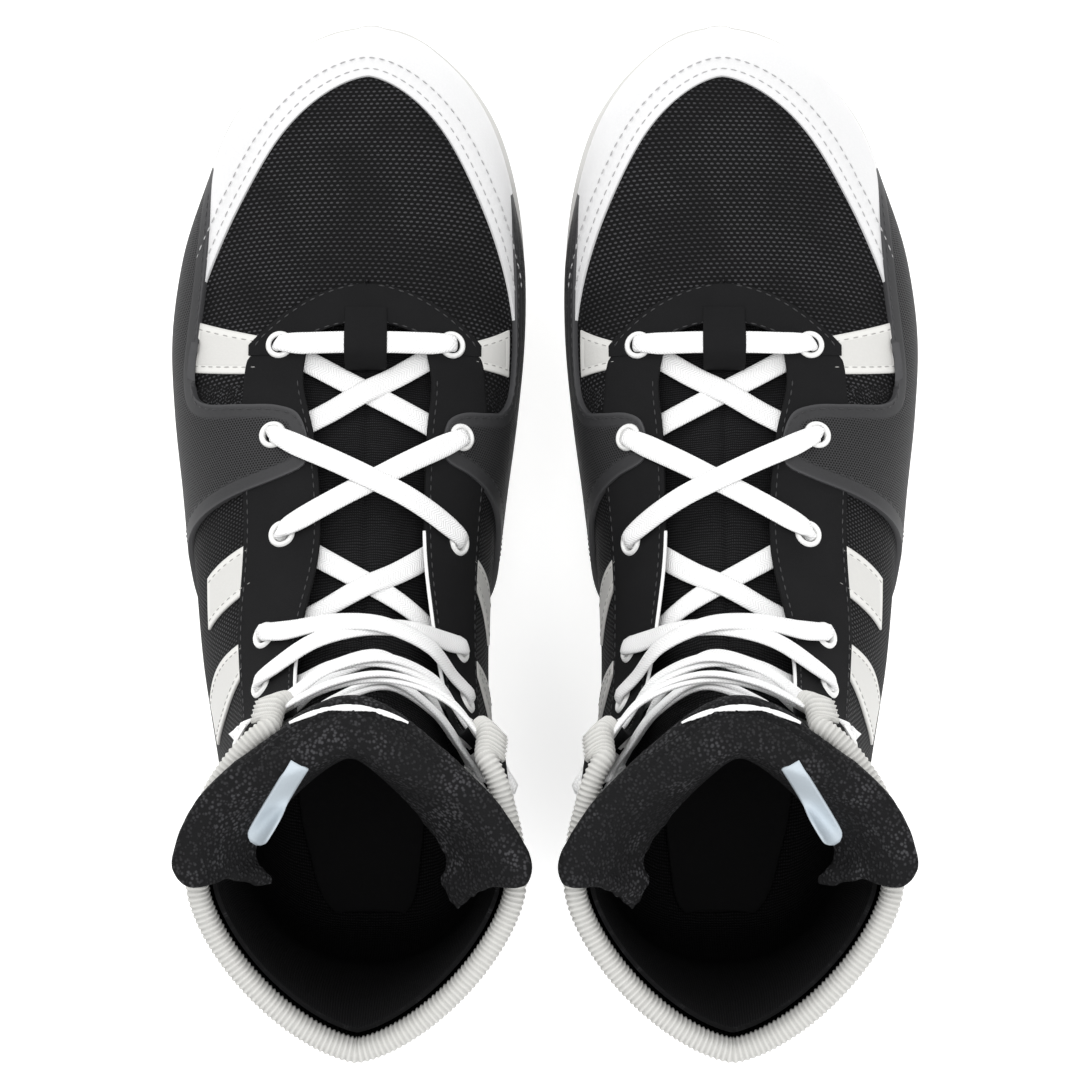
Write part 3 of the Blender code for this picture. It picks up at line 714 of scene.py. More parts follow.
def dashes(finish, pitch, row, lean, length=0.36, width=0.30):
    """Slanted yarn floats in staggered rows: 1 on a float and 0 between them."""
    u, v = finish.cloth()
    rows = v / row
    shifted = u / pitch + rows.whole() * 0.5
    across = shifted.fraction() - 0.5
    up = rows.fraction() - 0.5
    along = (across + up * lean) / length
    over = (up - across * lean * 0.5) / width
    far = (along * along + over * over) ** 0.5
    return 1.0 - far.step(0.55, 1.1)


def threads(finish, pitch):
    """A plain weave's crossing threads: 1 on top of a thread and 0 in its gaps."""
    u, v = finish.cloth()
    a = (u * (math.pi / pitch)).wave().size()
    b = (v * (math.pi / pitch)).wave().size()
    return a * b


def panel_mesh(name, colour, pitch, row, lean, painted_glint=4.5):
    """Black sandwich mesh: yarn floats over an open ground, the floats with painted highlights."""
    finish = Finish(name, colour, 0.75, 0.12)
    floats = dashes(finish, pitch, row, lean)
    fine = threads(finish, 0.42)
    # painted highlight: the black floats are coloured lighter where they would catch light, more
    # strongly in some patches than others
    glint_patches = finish.noise(60.0, 3.0)
    lift = floats * (0.55 + 0.9 * glint_patches.step(0.35, 0.7))
    finish.colour(finish.mixed(lift, tint(colour, 0.6), tint(colour, painted_glint * 1.5)))
    finish.rough(0.82 - floats * 0.30)
    finish.relief(floats * 0.8 + fine * 0.2, 0.22)
    return finish.material


def tongue_mesh(name, colour):
    """Softer mesh of the tongue, knitted in short wavy courses."""
    finish = Finish(name, colour, 0.8, 0.1)
    u, v = finish.cloth()
    wobble = finish.noise(300.0, 2.0)
    course = (v / 1.05 + wobble * 1.1).fraction() - 0.5
    wale = (u / 0.8 + wobble * 0.6).fraction() - 0.5
    knit = (1.0 - course.size().step(0.12, 0.42)) * (1.0 - wale.size().step(0.25, 0.5))
    finish.colour(finish.mixed(knit * 0.8, tint(colour, 0.7), tint(colour, 3.6)))
    finish.rough(0.85 - knit * 0.2)
    finish.relief(knit, 0.22)
    return finish.material


def head_mesh(name, colour):
    """The tongue head's mesh, which follows the pad's own place instead of a cutting pattern; its
    threads carry painted highlights.
    """
    finish = Finish(name, colour, 0.82, 0.1)
    thread = 1.0 - finish.grain(880.0).step(0.25, 0.6)
    # painted highlight: the black threads are coloured lighter where they would catch light, more
    # strongly in some patches than others
    glint_patches = finish.noise(90.0, 3.0)
    lift = thread * (0.25 + 0.75 * glint_patches.step(0.45, 0.7))
    finish.colour(finish.mixed(lift, tint(colour, 1.2), tint(colour, 6.5)))
    finish.rough(0.86 - thread * 0.2)
    finish.relief(thread, 0.3)
    return finish.material


def suede(name, colour):
    """Napped microfibre: short fibre noise with a soft sheen."""
    finish = Finish(name, colour, 0.92, 0.08)
    nap = finish.noise(2600.0, 3.0, 0.7)
    drift = finish.noise(70.0, 3.0)
    finish.colour(finish.mixed(nap * 0.6 + drift * 0.4, tint(colour, 0.7), tint(colour, 1.7)))
    edge = finish.rim().step(0.2, 0.9)
    finish.relief(nap * 0.5 + edge * 0.5, 0.16)
    return finish.material


def perforated(name, colour, pitch=0.95, border=4.2):
    """Synthetic overlay with fine holes inside a plain border and a ribbed edge."""
    finish = Finish(name, colour, 0.58, 0.25)
    u, v = finish.cloth()
    rows = v / (pitch * 0.8)
    across = (u / pitch + rows.whole() * 0.5).fraction() - 0.5
    up = (rows.fraction() - 0.5) * 0.8
    far = (across * across + up * up) ** 0.5
    rim = finish.rim()
    field = rim.step(border - 0.5, border + 0.5)
    hole = (1.0 - far.step(0.2, 0.4)) * field
    grain = finish.noise(1500.0, 3.0, 0.6)
    # the colour is lighter along the panel's edge
    lighter_rim = (1.0 - rim.step(0.1, 1.2)) * 0.6
    ground = finish.mixed(grain * 0.5 + lighter_rim, tint(colour, 1.3), tint(colour, 2.9))
    finish.colour(finish.mixed(hole, ground, tint(colour, 0.18)))
    finish.rough(0.52 + hole * 0.35 + grain * 0.08)
    groove = 1.0 - (rim - border).size().step(0.1, 0.6)
    finish.relief(0.8 - hole * 0.6 + grain * 0.12 - groove * 0.25, 0.22)
    return finish.material


def smooth_leather(name, colour, roughness=0.5, turned=0.0):
    """Coated synthetic leather: pebble grain, faint creases, and a whiter turned edge."""
    finish = Finish(name, colour, roughness, 0.5)
    cell = finish.grain(1300.0).step(0.0, 0.75)
    crease = finish.noise(120.0, 4.0, 0.6)
    rim = finish.rim()
    edge = 1.0 - rim.step(0.15, 0.9)
    soil = finish.noise(35.0, 3.0) * 0.35 + cell * 0.25
    base = finish.mixed(soil, tint(colour, 1.03), tint(colour, 0.93))
    height = cell * 0.12 + crease * 0.35
    if turned:
        base = finish.mixed(1.0 - rim.step(turned - 0.2, turned + 0.1), base, tint(colour, 1.14))
        height = height - (1.0 - (rim - turned).size().step(0.0, 0.5)) * 0.3
    finish.colour(finish.mixed(edge * 0.5, base, tint(colour, 0.86)))
    finish.rough(roughness + crease * 0.12 - cell * 0.05)
    finish.relief(height, 0.16)
    return finish.material


def ribbed_tape(name, colour):
    """Grosgrain: fine warp threads over the ribs that the mesh itself has, with painted shade
    between the ribs.
    """
    finish = Finish(name, colour, 0.85, 0.3)
    u, _ = finish.cloth()
    warp = (u * (2 * math.pi / 0.55)).wave() * 0.5 + 0.5
    fibre = finish.noise(2400.0, 3.0, 0.6)
    rib = finish.node("ShaderNodeAttribute", {"attribute_name": "rib"}, output="Fac")
    # painted shade: darker in the hollows between the mesh's ribs and lighter on their crests; the
    # fibre noise and warp threads add the tape's own tone
    fibre_and_painted_rib_shade = rib * 0.55 + fibre * 0.3 + warp * 0.15
    finish.colour(finish.mixed(fibre_and_painted_rib_shade, tint(colour, 0.66), tint(colour, 1.05)))
    finish.relief(warp * 0.6 + fibre * 0.4, 0.1)
    return finish.sheen(0.1).material


def woven_lace(name, colour):
    """Flat tubular lace: slanted yarns that meet at the lace's middle."""
    finish = Finish(name, colour, 0.8, 0.3)
    u, v = finish.cloth()
    side = (u / 3.6).fraction() - 0.5
    slant = (v / 0.9 + side.size() * 3.0).fraction() - 0.5
    yarn = 1.0 - slant.size().step(0.15, 0.5)
    fibre = finish.noise(2600.0, 3.0, 0.6)
    finish.colour(finish.mixed(yarn * 0.6 + fibre * 0.4, tint(colour, 0.84), tint(colour, 1.06)))
    finish.relief(yarn * 0.75 + fibre * 0.25, 0.13)
    return finish.sheen(0.1).material


def plain(name, colour, roughness, scale, depth, specular=0.5):
    """Moulded or coated surfaces: one fine grain with slight change of tone."""
    finish = Finish(name, colour, roughness, specular)
    grain = finish.noise(scale, 4.0, 0.6)
    drift = finish.noise(45.0, 2.0)
    finish.colour(finish.mixed(grain * 0.5 + drift * 0.5, tint(colour, 0.88), tint(colour, 1.08)))
    finish.rough(roughness + grain * 0.12 - 0.04)
    finish.relief(grain, depth)
    return finish.material


def rubber(name, colour):
    """Sole rubber: fine sidewall lines and a mould texture."""
    finish = Finish(name, colour, 0.62, 0.4)
    place = finish.node("ShaderNodeSeparateXYZ", None, finish.object_place(), output="Z")
    lines = (place * (2 * math.pi / (1.3 * MM))).wave() * 0.5 + 0.5
    grain = finish.noise(1400.0, 3.0)
    dirt = finish.noise(50.0, 4.0).step(0.5, 0.9)
    finish.colour(finish.mixed(dirt * 0.5 + grain * 0.2, colour, tint(colour, 0.82)))
    finish.rough(0.58 + grain * 0.14)
    finish.relief(lines * 0.6 + grain * 0.3, 0.16)
    return finish.material


# ---------------------------------------------------------------- sizes and colours to change

def length_setting(name, description, default):
    return FloatProperty(name=name, description=description, default=default * MM, min=0.0,
                         unit="LENGTH", precision=5)


def colour_setting(name, description, default):
    return FloatVectorProperty(name=name, description=description, default=default, size=3,
                               subtype="COLOR", min=0.0, max=1.0)


class BootSizes(bpy.types.PropertyGroup):
    """Sizes of the tapes, rings, thread and laces."""

    lace_width: length_setting("Lace width", "Width of the flat lace", 6.7)
    lace_thickness: length_setting("Lace thickness", "Thickness of the flat lace", 1.5)
    ring_radius: length_setting("Ring radius", "Outer radius of an eyelet ring", 4.2)
    bore_radius: length_setting("Bore radius", "Radius of the hole in an eyelet ring", 2.5)
    rib_pitch: length_setting("Rib pitch", "Distance between the ribs of the collar tape", 1.5)
    tape_height: length_setting("Tape height", "How far the collar tape reaches down", 5.6)
    stitch_length: length_setting("Stitch", "Length of one stitch", 2.1)
    stitch_gap: length_setting("Stitch gap", "Gap between two stitches", 0.9)
    keeper_width: length_setting("Keeper width", "Width of the lace keeper loop", 12.4)


class BootColours(bpy.types.PropertyGroup):
    """Colours of the fabrics, leathers and rubber."""

    mesh: colour_setting("Mesh", "Black mesh of the vamp and the quarters", (0.0075, 0.0075, 0.008))
    suede: colour_setting("Suede", "Black microfibre of the facings", (0.0095, 0.0095, 0.010))
    overlay: colour_setting("Overlay", "Perforated side overlays", (0.020, 0.020, 0.021))
    toe: colour_setting("Toe", "White toe rand", (0.71, 0.71, 0.715))
    patch: colour_setting("Patch", "Pale side patches", (0.60, 0.595, 0.575))
    tape: colour_setting("Tape", "Ribbed collar tape", (0.66, 0.655, 0.63))
    lace: colour_setting("Lace", "Flat lace", (0.90, 0.90, 0.90))
    ring: colour_setting("Ring", "Enamelled eyelets", (0.86, 0.86, 0.85))
    sole: colour_setting("Sole", "Rubber sole", (0.66, 0.655, 0.64))
    label: colour_setting("Label", "Woven size label", (0.50, 0.56, 0.61))


BOARD_COLOUR = (0.55, 0.50, 0.42)


def finish_of(name):
    """A finish by its name, which is made when a piece first asks for it."""
    colours = bpy.context.scene.boot_colours
    makers = {
        "vamp mesh": (panel_mesh, colours.mesh, 1.84, 1.35, 0.55),
        "quarter mesh": (panel_mesh, colours.mesh, 1.5, 1.1, -0.5, 3.6),
        "tongue mesh": (tongue_mesh, colours.mesh),
        "head mesh": (head_mesh, colours.mesh),
        "suede": (suede, colours.suede),
        "perforated overlay": (perforated, colours.overlay),
        "toe leather": (smooth_leather, colours.toe, 0.42),
        "patch leather": (smooth_leather, colours.patch, 0.5, 2.4),
        "collar tape": (ribbed_tape, colours.tape),
        "lace": (woven_lace, colours.lace),
        "eyelet enamel": (plain, colours.ring, 0.3, 900.0, 0.03),
        "sole rubber": (rubber, colours.sole),
        "lining knit": (tongue_mesh, tint(colours.mesh, 0.9)),
        "footbed cloth": (plain, tint(colours.mesh, 1.6), 0.9, 1500.0, 0.2, 0.2),
        "lasting board": (plain, BOARD_COLOUR, 0.9, 600.0, 0.1, 0.2),
        "size label": (plain, colours.label, 0.6, 1800.0, 0.08, 0.3),
        "white thread": (plain, tint(colours.toe, 0.55), 0.7, 2200.0, 0.05, 0.2),
        "pale thread": (plain, tint(colours.patch, 0.62), 0.7, 2200.0, 0.05, 0.2),
        "black thread": (plain, tint(colours.overlay, 1.6), 0.5, 2200.0, 0.05, 0.4),
        "white piping": (plain, colours.lace, 0.5, 1500.0, 0.05, 0.3),
    }
    make, *values = makers[name]
    return bpy.data.materials.get(name) or make(name, *values)


# ---------------------------------------------------------------- sole

CUP_END = 13.16                 # t at which the cup's edge closes behind the heel
CUP_RISE = ((-0.5, 7.2), (1.0, 7.4), (4.0, 9.2), (9.0, 8.6), (12.0, 9.6), (13.2, 12.0))


def crowded(start, end, count, power=2.0):
    """Section places that crowd towards the end, where an edge turns steeply."""
    return end - (end - start) * (1 - np.linspace(0, 1, count + 1)) ** power


def around_sole(edges, columns):
    """Shares from the inner edge under the sole to the outer edge, for each t."""
    outer, inner = (edge[:, None] for edge in edges)
    return inner + (2.0 - outer - inner) * np.linspace(0, 1, columns + 1)[None]


def make_cup():
    """Rubber cup round the foot: a wall with a rounded lip and a groove below it."""
    t = crowded(-0.5, CUP_END, 210)
    rise = smooth(CUP_RISE, t)
    edges = [FORM.level(t, side, rise) for side in (OUTER, INNER)]
    share = around_sole(edges, 96)
    width = (share[:, -1] - share[:, 0])[:, None]
    total = (FORM.length(t, OUTER) + FORM.length(t, INNER))[:, None] / 2
    from_lip = np.minimum(share - share[:, :1], share[:, -1:] - share) * total
    lip = 0.5 * (1 - ease(1.2, 2.2, from_lip)) - 0.45 * np.exp(-((from_lip - 2.9) / 0.45) ** 2)
    height = 3.0 + lip * ease(6.0, 30.0, width * total)
    toe = 1.7 * (1 - ease(1.0, 5.0, t))[:, None]
    points, out = FORM.read(t[:, None], share, height - toe)
    piece = draped("left_rubber_cup", points, out)
    merge(piece)
    return thick(piece, 2.0, 0.5)


TREAD_BASE = 0.9                # how far the plate stands over the floor, on its lugs
PLATE_TOP = 4.8
LUG_PITCH, LUG_ROW = 6.4, 5.6
LUG_CLEAR = 7                   # room round a pivot ring without lugs
PIVOTS = ((-3.0, 78.0, 15.0), (0.0, -112.0, 11.0))      # x, y and radius of the outer rings
PIVOT_RINGS = (1.0, 0.66, 0.32)
PIVOT_EDGE = ((-1.1, 1.0), (-0.9, 0.0), (0.9, 0.0), (1.1, 1.0))


def plate_height(y):
    """Height of the tread over the floor at y."""
    return ground(y) - SOLE_LINE


def make_plate():
    """Flat outsole plate that follows the toe spring."""
    t = np.linspace(0.9, 13.05, 130)
    share = around_sole([FORM.level(t, side, 1.5) for side in (OUTER, INNER)], 24)
    points, out = FORM.read(t[:, None], share)
    points[..., 2] = plate_height(points[..., 1]) + TREAD_BASE
    plate = draped("left_tread_plate", points, out)
    merge(plate)
    with edited(plate.data) as shape:
        shape.normal_update()
        if sum(f.normal.z for f in shape.faces) > 0:
            bmesh.ops.reverse_faces(shape, faces=shape.faces)
    return thick(plate, PLATE_TOP - TREAD_BASE, 0.4)


def make_lugs(plate):
    """Small six-sided lugs over the plate's underside, and rings to pivot on."""
    outline = BVHTree.FromObject(plate, bpy.context.evaluated_depsgraph_get())
    lugs = bmesh.new()
    for j, i in itertools.product(range(-28, 28), range(-10, 11)):
        x, y = (i + 0.5 * (j % 2)) * LUG_PITCH, j * LUG_ROW
        if any(math.hypot(x - px, y - py) < r + LUG_CLEAR for px, py, r in PIVOTS):
            continue
        rim = [Vector(world((x + dx, y + dy, -5.0)))
               for dx, dy in ((4, 0), (-4, 0), (0, 4), (0, -4))]
        if any(outline.ray_cast(p, Vector((0, 0, 1)))[0] is None for p in rim):
            continue
        middle = (x, y, float(plate_height(y)) + TREAD_BASE / 2 + 0.05)
        bmesh.ops.create_cone(lugs, cap_ends=True, segments=6, radius1=2.2 * MM, radius2=2.7 * MM,
                              depth=(TREAD_BASE + 0.1) * MM,
                              matrix=Matrix.Translation(Vector(world(middle))))
    for (x, y, radius), share in itertools.product(PIVOTS, PIVOT_RINGS):
        profile = [lugs.verts.new(world((x + radius * share + dx, y, float(plate_height(y)) + dz)))
                   for dx, dz in PIVOT_EDGE]
        sides = [lugs.edges.new(p) for p in zip(profile, profile[1:])]
        bmesh.ops.spin(lugs, geom=profile + sides, cent=world((x, y, 0)), axis=(0, 0, 1),
                       angle=2 * math.pi, steps=40, use_merge=True)
    bmesh.ops.recalc_face_normals(lugs, faces=lugs.faces)
    made = link(mesh_of("left_tread_lugs", lugs))
    made.data.set_sharp_from_angle(angle=math.radians(40))
    return made


def make_footbed():
    """The insole that lifts out: a cupped foam plate with a cloth top."""
    t = np.linspace(1.9, 12.75, 110)
    share = around_sole([np.minimum(0.985, FORM.level(t, side, 4.5) + 10.5 / FORM.length(t, side))
                         for side in (OUTER, INNER)], 28)
    middle = np.abs(np.linspace(-1, 1, 29))[None]
    points, out = FORM.read(t[:, None], share, -7.9 - 1.2 * (1 - middle ** 3))
    piece = draped("left_footbed", points, out)
    return thick(piece, 2.6, 0.6)


# ---------------------------------------------------------------- upper

BASE_HEIGHT = 0.0
OVERLAY_HEIGHT = 0.9
SADDLE_HEIGHT = 1.7
RAND_END = {OUTER: (6.45, 52.0), INNER: (6.85, 50.0)}
RAND_START = 2.8
RAND_STITCHES = (2.6, 6.4)       # distances of the stitch rows from the rand's inner edge


def sole_arc(t, side, rise=3.0):
    """Distance from the lacing line down to where the cup covers the upper."""
    return FORM.level(t, side, rise) * FORM.length(t, side)


def rand_arc(t, side):
    """The toe rand's inner edge: an arch round the toe with its top at RAND_START."""
    end, arc = RAND_END[side]
    f = np.clip((t - RAND_START) / (end - RAND_START), 0, 1)
    return arc * f ** 0.65


def joined(name, pieces):
    """One object from several, with their meeting points merged."""
    shape = bmesh.new()
    for piece in pieces:
        shape.from_mesh(piece.data)
    bmesh.ops.remove_doubles(shape, verts=shape.verts, dist=0.03 * MM)
    bmesh.ops.dissolve_degenerate(shape, dist=0.005 * MM, edges=shape.edges)
    for piece in pieces:
        old = piece.data
        bpy.data.objects.remove(piece)
        bpy.data.meshes.remove(old)
    return link(mesh_of(name, shape))


def make_rand():
    """White toe rand that wraps the toe and tapers back along both sides."""
    pieces, lines = [], []
    for side in (OUTER, INNER):
        end = RAND_END[side][0]
        nose = np.linspace(-0.5, RAND_START, 50)
        arms = RAND_START + (end - RAND_START) * np.linspace(0, 1, 91)[1:] ** 1.6
        t = np.concatenate((nose, arms))
        low = rand_arc(t, side)
        high = np.where(t < 0.8, FORM.length(t, side), sole_arc(t, side, 2.5))
        high = np.maximum(high, low + 0.4)
        u = np.linspace(0, 1, 41)[None]
        arc = low[:, None] + (high - low)[:, None] * u
        points, out = FORM.lay(t[:, None], side * arc, OVERLAY_HEIGHT)
        pieces.append(draped(f"rand_{side}", points, out))
        edge_t = np.concatenate(([RAND_START], arms))
        edge_points, _ = FORM.lay(edge_t, side * rand_arc(edge_t, side), OVERLAY_HEIGHT)
        lines.append(edge_points)
    rand = joined("left_toe_cap", pieces)
    rim_values(rand)
    edge = np.concatenate((lines[0][::-1], lines[1][1:]))
    out = outward(edge)
    way = unit(np.gradient(edge, axis=0))
    away = unit(np.cross(way, out))
    away *= np.sign((away[len(edge) // 2] * (0, 1, 0)).sum())
    return thick(rand, 1.2, 0.35), [(edge + away * distance)[2:-6] for distance in RAND_STITCHES]


def band(name, t, inner, outer, height, columns, sides=(OUTER, INNER)):
    """A panel between two edges, each an arc for every t; also its grids of points by side."""
    pieces, grids = [], {}
    for side in sides:
        low, high = inner(t, side), outer(t, side)
        arc = low[:, None] + (high - low)[:, None] * np.linspace(0, 1, columns + 1)[None]
        rise = height(t[:, None], side * arc) if callable(height) else height
        points, out = FORM.lay(t[:, None], side * arc, rise)
        guide = np.stack((side * arc, t[:, None] * T_LENGTH + 0 * arc), axis=2)
        pieces.append(draped(f"{name}_{side}", points, out, guide))
        grids[side] = points
    return joined(name, pieces), grids


def arch(t, start, reach=34.0, depth=0.9):
    return reach * np.sqrt(np.clip((t - start) / depth, 0, 1))


def edge_of(table, t, side, shift=0.0):
    return smooth(table[side], t) + shift


def make_vamp():
    """Mesh over the toes, under the rand, the throat overlay and the saddles."""
    t = np.concatenate((np.linspace(2.3, 6.5, 90), 6.5 + 1.9 * np.linspace(0, 1, 50)[1:] ** 1.7))
    vamp, _ = band("left_vamp_mesh", t, lambda t, side: arch(t, 6.5),
                   lambda t, side: sole_arc(t, side, 5.0), BASE_HEIGHT, 50)
    flatten(vamp)
    return thick(vamp, 1.3, 0.0)


def make_throat():
    """Black suede arch round the throat, with its two rows of stitching."""
    t = 6.3 + 1.0 * np.linspace(0, 1, 60) ** 1.8

    def inner(t, side):
        return arch(t, 6.82, 28.0, 0.62)

    def outer(t, side):
        return np.maximum(arch(t, 6.3, 35.0, 0.85), inner(t, side) + 0.3)

    throat, grids = band("left_throat_suede", t, inner, outer, OVERLAY_HEIGHT + 0.3, 16)
    rim_values(throat)
    flatten(throat)
    rows = [inset(grids[side], 1.8, edge)[first:-4] for edge, first in (("high", 6), ("low", 34))
            for side in (OUTER, INNER)]
    return thick(throat, 1.2, 0.3), rows


def make_quarters():
    """Mesh sides from the vamp round to the heel's back line."""
    made = []
    t = np.concatenate((np.linspace(7.7, 12.4, 90), np.linspace(12.4, 17.75, 120)[1:]))

    def inner(t, side):
        return edge_of(FACING_BACK, t, side, -3.5)

    def outer(t, side):
        whole = FORM.length(t, side)
        return np.where(t > 12.9, whole, np.minimum(whole, sole_arc(t, side, 5.0)))

    for side, name in SIDES:
        panel, _ = band(f"left_{name}_quarter_mesh", t, inner, outer, BASE_HEIGHT, 56, (side,))
        flatten(panel)
        made.append(thick(panel, 1.3, 0.0))
    return made


SADDLE = {
    OUTER: {
        "top": ((4.6, 51.6), (5.4, 49.6), (6.25, 50.2), (7.0, 52.6), (7.55, 54.8), (7.83, 54.0),
                (7.95, 49.7), (8.0, 36), (8.03, 26), (8.14, 20), (8.4, 17.2), (8.7, 16.4)),
        "rear": ((8.7, 16.4), (8.88, 17.4), (9.05, 25), (9.25, 42), (9.45, 60), (9.8, 92),
                 (10.2, 129)),
    },
    INNER: {
        "top": ((5.0, 48.6), (5.6, 47.6), (6.7, 49.2), (7.3, 50.6), (7.8, 50.6), (8.02, 46.0),
                (8.08, 38), (8.12, 29), (8.22, 25), (8.42, 23.4), (8.62, 23.2)),
        "rear": ((8.62, 23.2), (8.78, 24.4), (8.95, 34), (9.12, 45), (9.3, 57), (9.6, 82),
                 (10.0, 113)),
    },
}


def sole_line(t, side, count, rise=4.0):
    """count + 1 places along the cup's edge between two sections."""
    places = np.linspace(t[0], t[1], count + 1)
    return np.stack((places, side * sole_arc(places, side, rise)), axis=1)


def signed(points, side):
    return [(t, side * arc) for t, arc in points]


def make_saddles():
    """Perforated overlays that hold the forefoot, from the rand to the second lace row."""
    made, rows = [], []
    for side, name in SIDES:
        shape = SADDLE[side]
        top = line(signed(shape["top"], side), 150)
        rear = line(signed(shape["rear"], side), 60)
        sole = sole_line((shape["top"][0][0] - 0.25, shape["rear"][-1][0]), side, 150)
        rear[-1] = sole[-1]
        front = line((top[0], sole[0]), 60, False)
        places = patch(front, rear, top, sole)
        places[..., 1] = side * np.abs(places[..., 1])
        lift = SADDLE_HEIGHT - 0.8 * (1 - ease(0.0, 0.25, np.linspace(0, 1, 151)))[:, None]
        points, out = FORM.lay(places[..., 0], places[..., 1], lift)
        panel = draped(f"left_{name}_saddle_panel", points, out)
        rim_values(panel)
        flatten(panel)
        made.append(thick(panel, 1.7, 0.35))
        rows.append(inset(points, 1.5, "low")[10:-4])
        rows.append(inset(points, 4.6, "end")[3:-14])
    return made, rows


FACING_START = 6.98


def make_facings():
    """Suede lacing facings, with a row of edge stitching along both long edges."""
    made, rows = [], []
    t = np.linspace(FACING_START, 17.85, 230)

    def inner(t, side):
        return edge_of(FACING_FRONT, t, side) - 0.5 + 2.2 * ease(16.1, 16.6, t)

    def outer(t, side):
        return edge_of(FACING_BACK, t, side) - 6.0 * (1 - ease(0.0, 0.4, t - FACING_START))

    def height(t, arc):
        return OVERLAY_HEIGHT + flare(t, arc)

    for side, name in SIDES:
        panel, grids = band(f"left_{name}_facing_suede", t, inner, outer, height, 18, (side,))
        rim_values(panel)
        flatten(panel)
        rows += [inset(grids[side], 1.6, "low")[14:-2], inset(grids[side], 1.6, "high")[40:-2]]
        made.append(thick(panel, 1.6, 0.35))
    return made, rows


def flare(t, arc):
    """How far the facings' top front corners stand out, pushed open by the tongue."""
    side = OUTER if np.mean(arc) < 0 else INNER
    behind = np.abs(arc) - edge_of(FACING_FRONT, t, side)
    along = 8.0 * ease(14.8, 16.8, t) * (1 - 0.7 * ease(17.1, 18.0, t))
    return along * (1 - ease(-1.0, 20.0, behind))


def flared(t, arc, height=0.0):
    """Points and outward directions of the panels, with the facings' corners standing out."""
    t, arc = np.broadcast_arrays(np.asarray(t, float), np.asarray(arc, float))

    def at(t, arc):
        return FORM.lay(t, arc, flare(t, arc))

    base, form_out = at(t, arc)
    out = unit(np.cross(at(t + 0.1, arc)[0] - at(t - 0.1, arc)[0],
                        at(t, arc + 1)[0] - at(t, arc - 1)[0]))
    out *= np.sign((out * form_out).sum(axis=-1, keepdims=True))
    return base + out * height, out


def hole_place(side, row):
    """A lace hole's middle under its panel, and the panel's outward direction there."""
    point, out = flared([HOLE_ROWS[row - 1]], [side * HOLE_ARCS[side][row - 1]])
    return point[0], out[0]


def ring_turn(side, row):
    """A lace hole's middle, its panel's outward direction and the turn that faces it."""
    middle, out = hole_place(side, row)
    turn = Vector(out).to_track_quat("Z", "Y").to_matrix().to_4x4()
    return middle, out, turn


def hole_height(row):
    """How far the panel round a lace hole stands over the form."""
    return {1: OVERLAY_HEIGHT + 0.3, 2: SADDLE_HEIGHT}.get(row, OVERLAY_HEIGHT)


def pierce(pieces, side, sizes):
    """Cuts the lace holes of one side through its panels."""
    posts = bmesh.new()
    radius = sizes.bore_radius + 0.5 * MM
    for row in range(1, len(HOLE_ROWS) + 1):
        middle, out, turn = ring_turn(side, row)
        place = Matrix.Translation(Vector(world(middle - out))) @ turn
        bmesh.ops.create_cone(posts, cap_ends=True, segments=28, depth=12 * MM, matrix=place,
                              radius1=radius, radius2=radius)
    cutter = bpy.data.objects.new("lace_hole_posts", mesh_of("lace_hole_posts", posts))
    bpy.context.scene.collection.objects.link(cutter)
    for piece in pieces:
        cut = piece.modifiers.new("lace holes", "BOOLEAN")
        cut.operation = "DIFFERENCE"
        cut.solver = "EXACT"
        cut.object = cutter
        apply_all(piece)
    bpy.data.objects.remove(cutter)


# (share of the way from the bore to the flange's edge, height in mm) round an eyelet's wall
RING_PROFILE = ((0.0, -3.4), (0.0, -0.3), (0.07, 0.45), (0.26, 0.85), (0.5, 0.95), (0.7, 0.8),
                (0.86, 0.5), (0.96, 0.12), (1.0, -0.1), (0.47, -0.1), (0.26, -0.5), (0.24, -3.4))


def make_rings(side, name, sizes):
    """Nine pressed eyelets: each a rounded flange that turns down into a barrel."""
    shape = bmesh.new()
    outer, bore = sizes.ring_radius, sizes.bore_radius
    for row in range(1, len(HOLE_ROWS) + 1):
        middle, out, turn = ring_turn(side, row)
        base = hole_height(row) * MM
        place = Matrix.Translation(Vector(world(middle))) @ turn
        knots = [shape.verts.new(place @ Vector((bore + (outer - bore) * share, 0, z * MM + base)))
                 for share, z in RING_PROFILE]
        sides = [shape.edges.new(p) for p in zip(knots, knots[1:] + knots[:1])]
        bmesh.ops.spin(shape, geom=knots + sides, cent=place.translation,
                       axis=turn @ Vector((0, 0, 1)), angle=2 * math.pi, steps=32, use_merge=True)
    bmesh.ops.remove_doubles(shape, verts=shape.verts, dist=0.001 * MM)
    bmesh.ops.recalc_face_normals(shape, faces=shape.faces)
    return link(mesh_of(f"left_{name}_eyelet_rings", shape))


# side, front edge and back edge of each pale patch
PATCHES = {
    "lateral_front_patch": (OUTER, ((6.8, 53.5), (6.9, 44), (7.02, 31.5)),
                            ((7.5, 56), (7.54, 44), (7.56, 31.5))),
    "medial_front_patch": (INNER, ((6.9, 47), (7.0, 40), (7.1, 32)),
                           ((7.55, 48.5), (7.5, 40), (7.45, 32))),
    "lateral_rear_patch": (OUTER, ((10.15, 56), (9.98, 44), (9.84, 34)),
                           ((10.85, 59.5), (10.72, 46), (10.55, 33))),
    "medial_rear_patch": (INNER, ((10.25, 64), (10.08, 56), (9.86, 38)),
                          ((10.8, 66), (10.6, 57), (10.25, 42))),
    "lateral_upper_patch": (OUTER, ((11.62, 75), (11.46, 56), (11.4, 38)),
                            ((12.35, 77), (12.3, 60), (11.95, 40))),
    "medial_upper_patch": (INNER, ((11.5, 74), (11.42, 62), (11.4, 48)),
                           ((11.95, 76), (11.85, 62), (11.6, 50))),
}


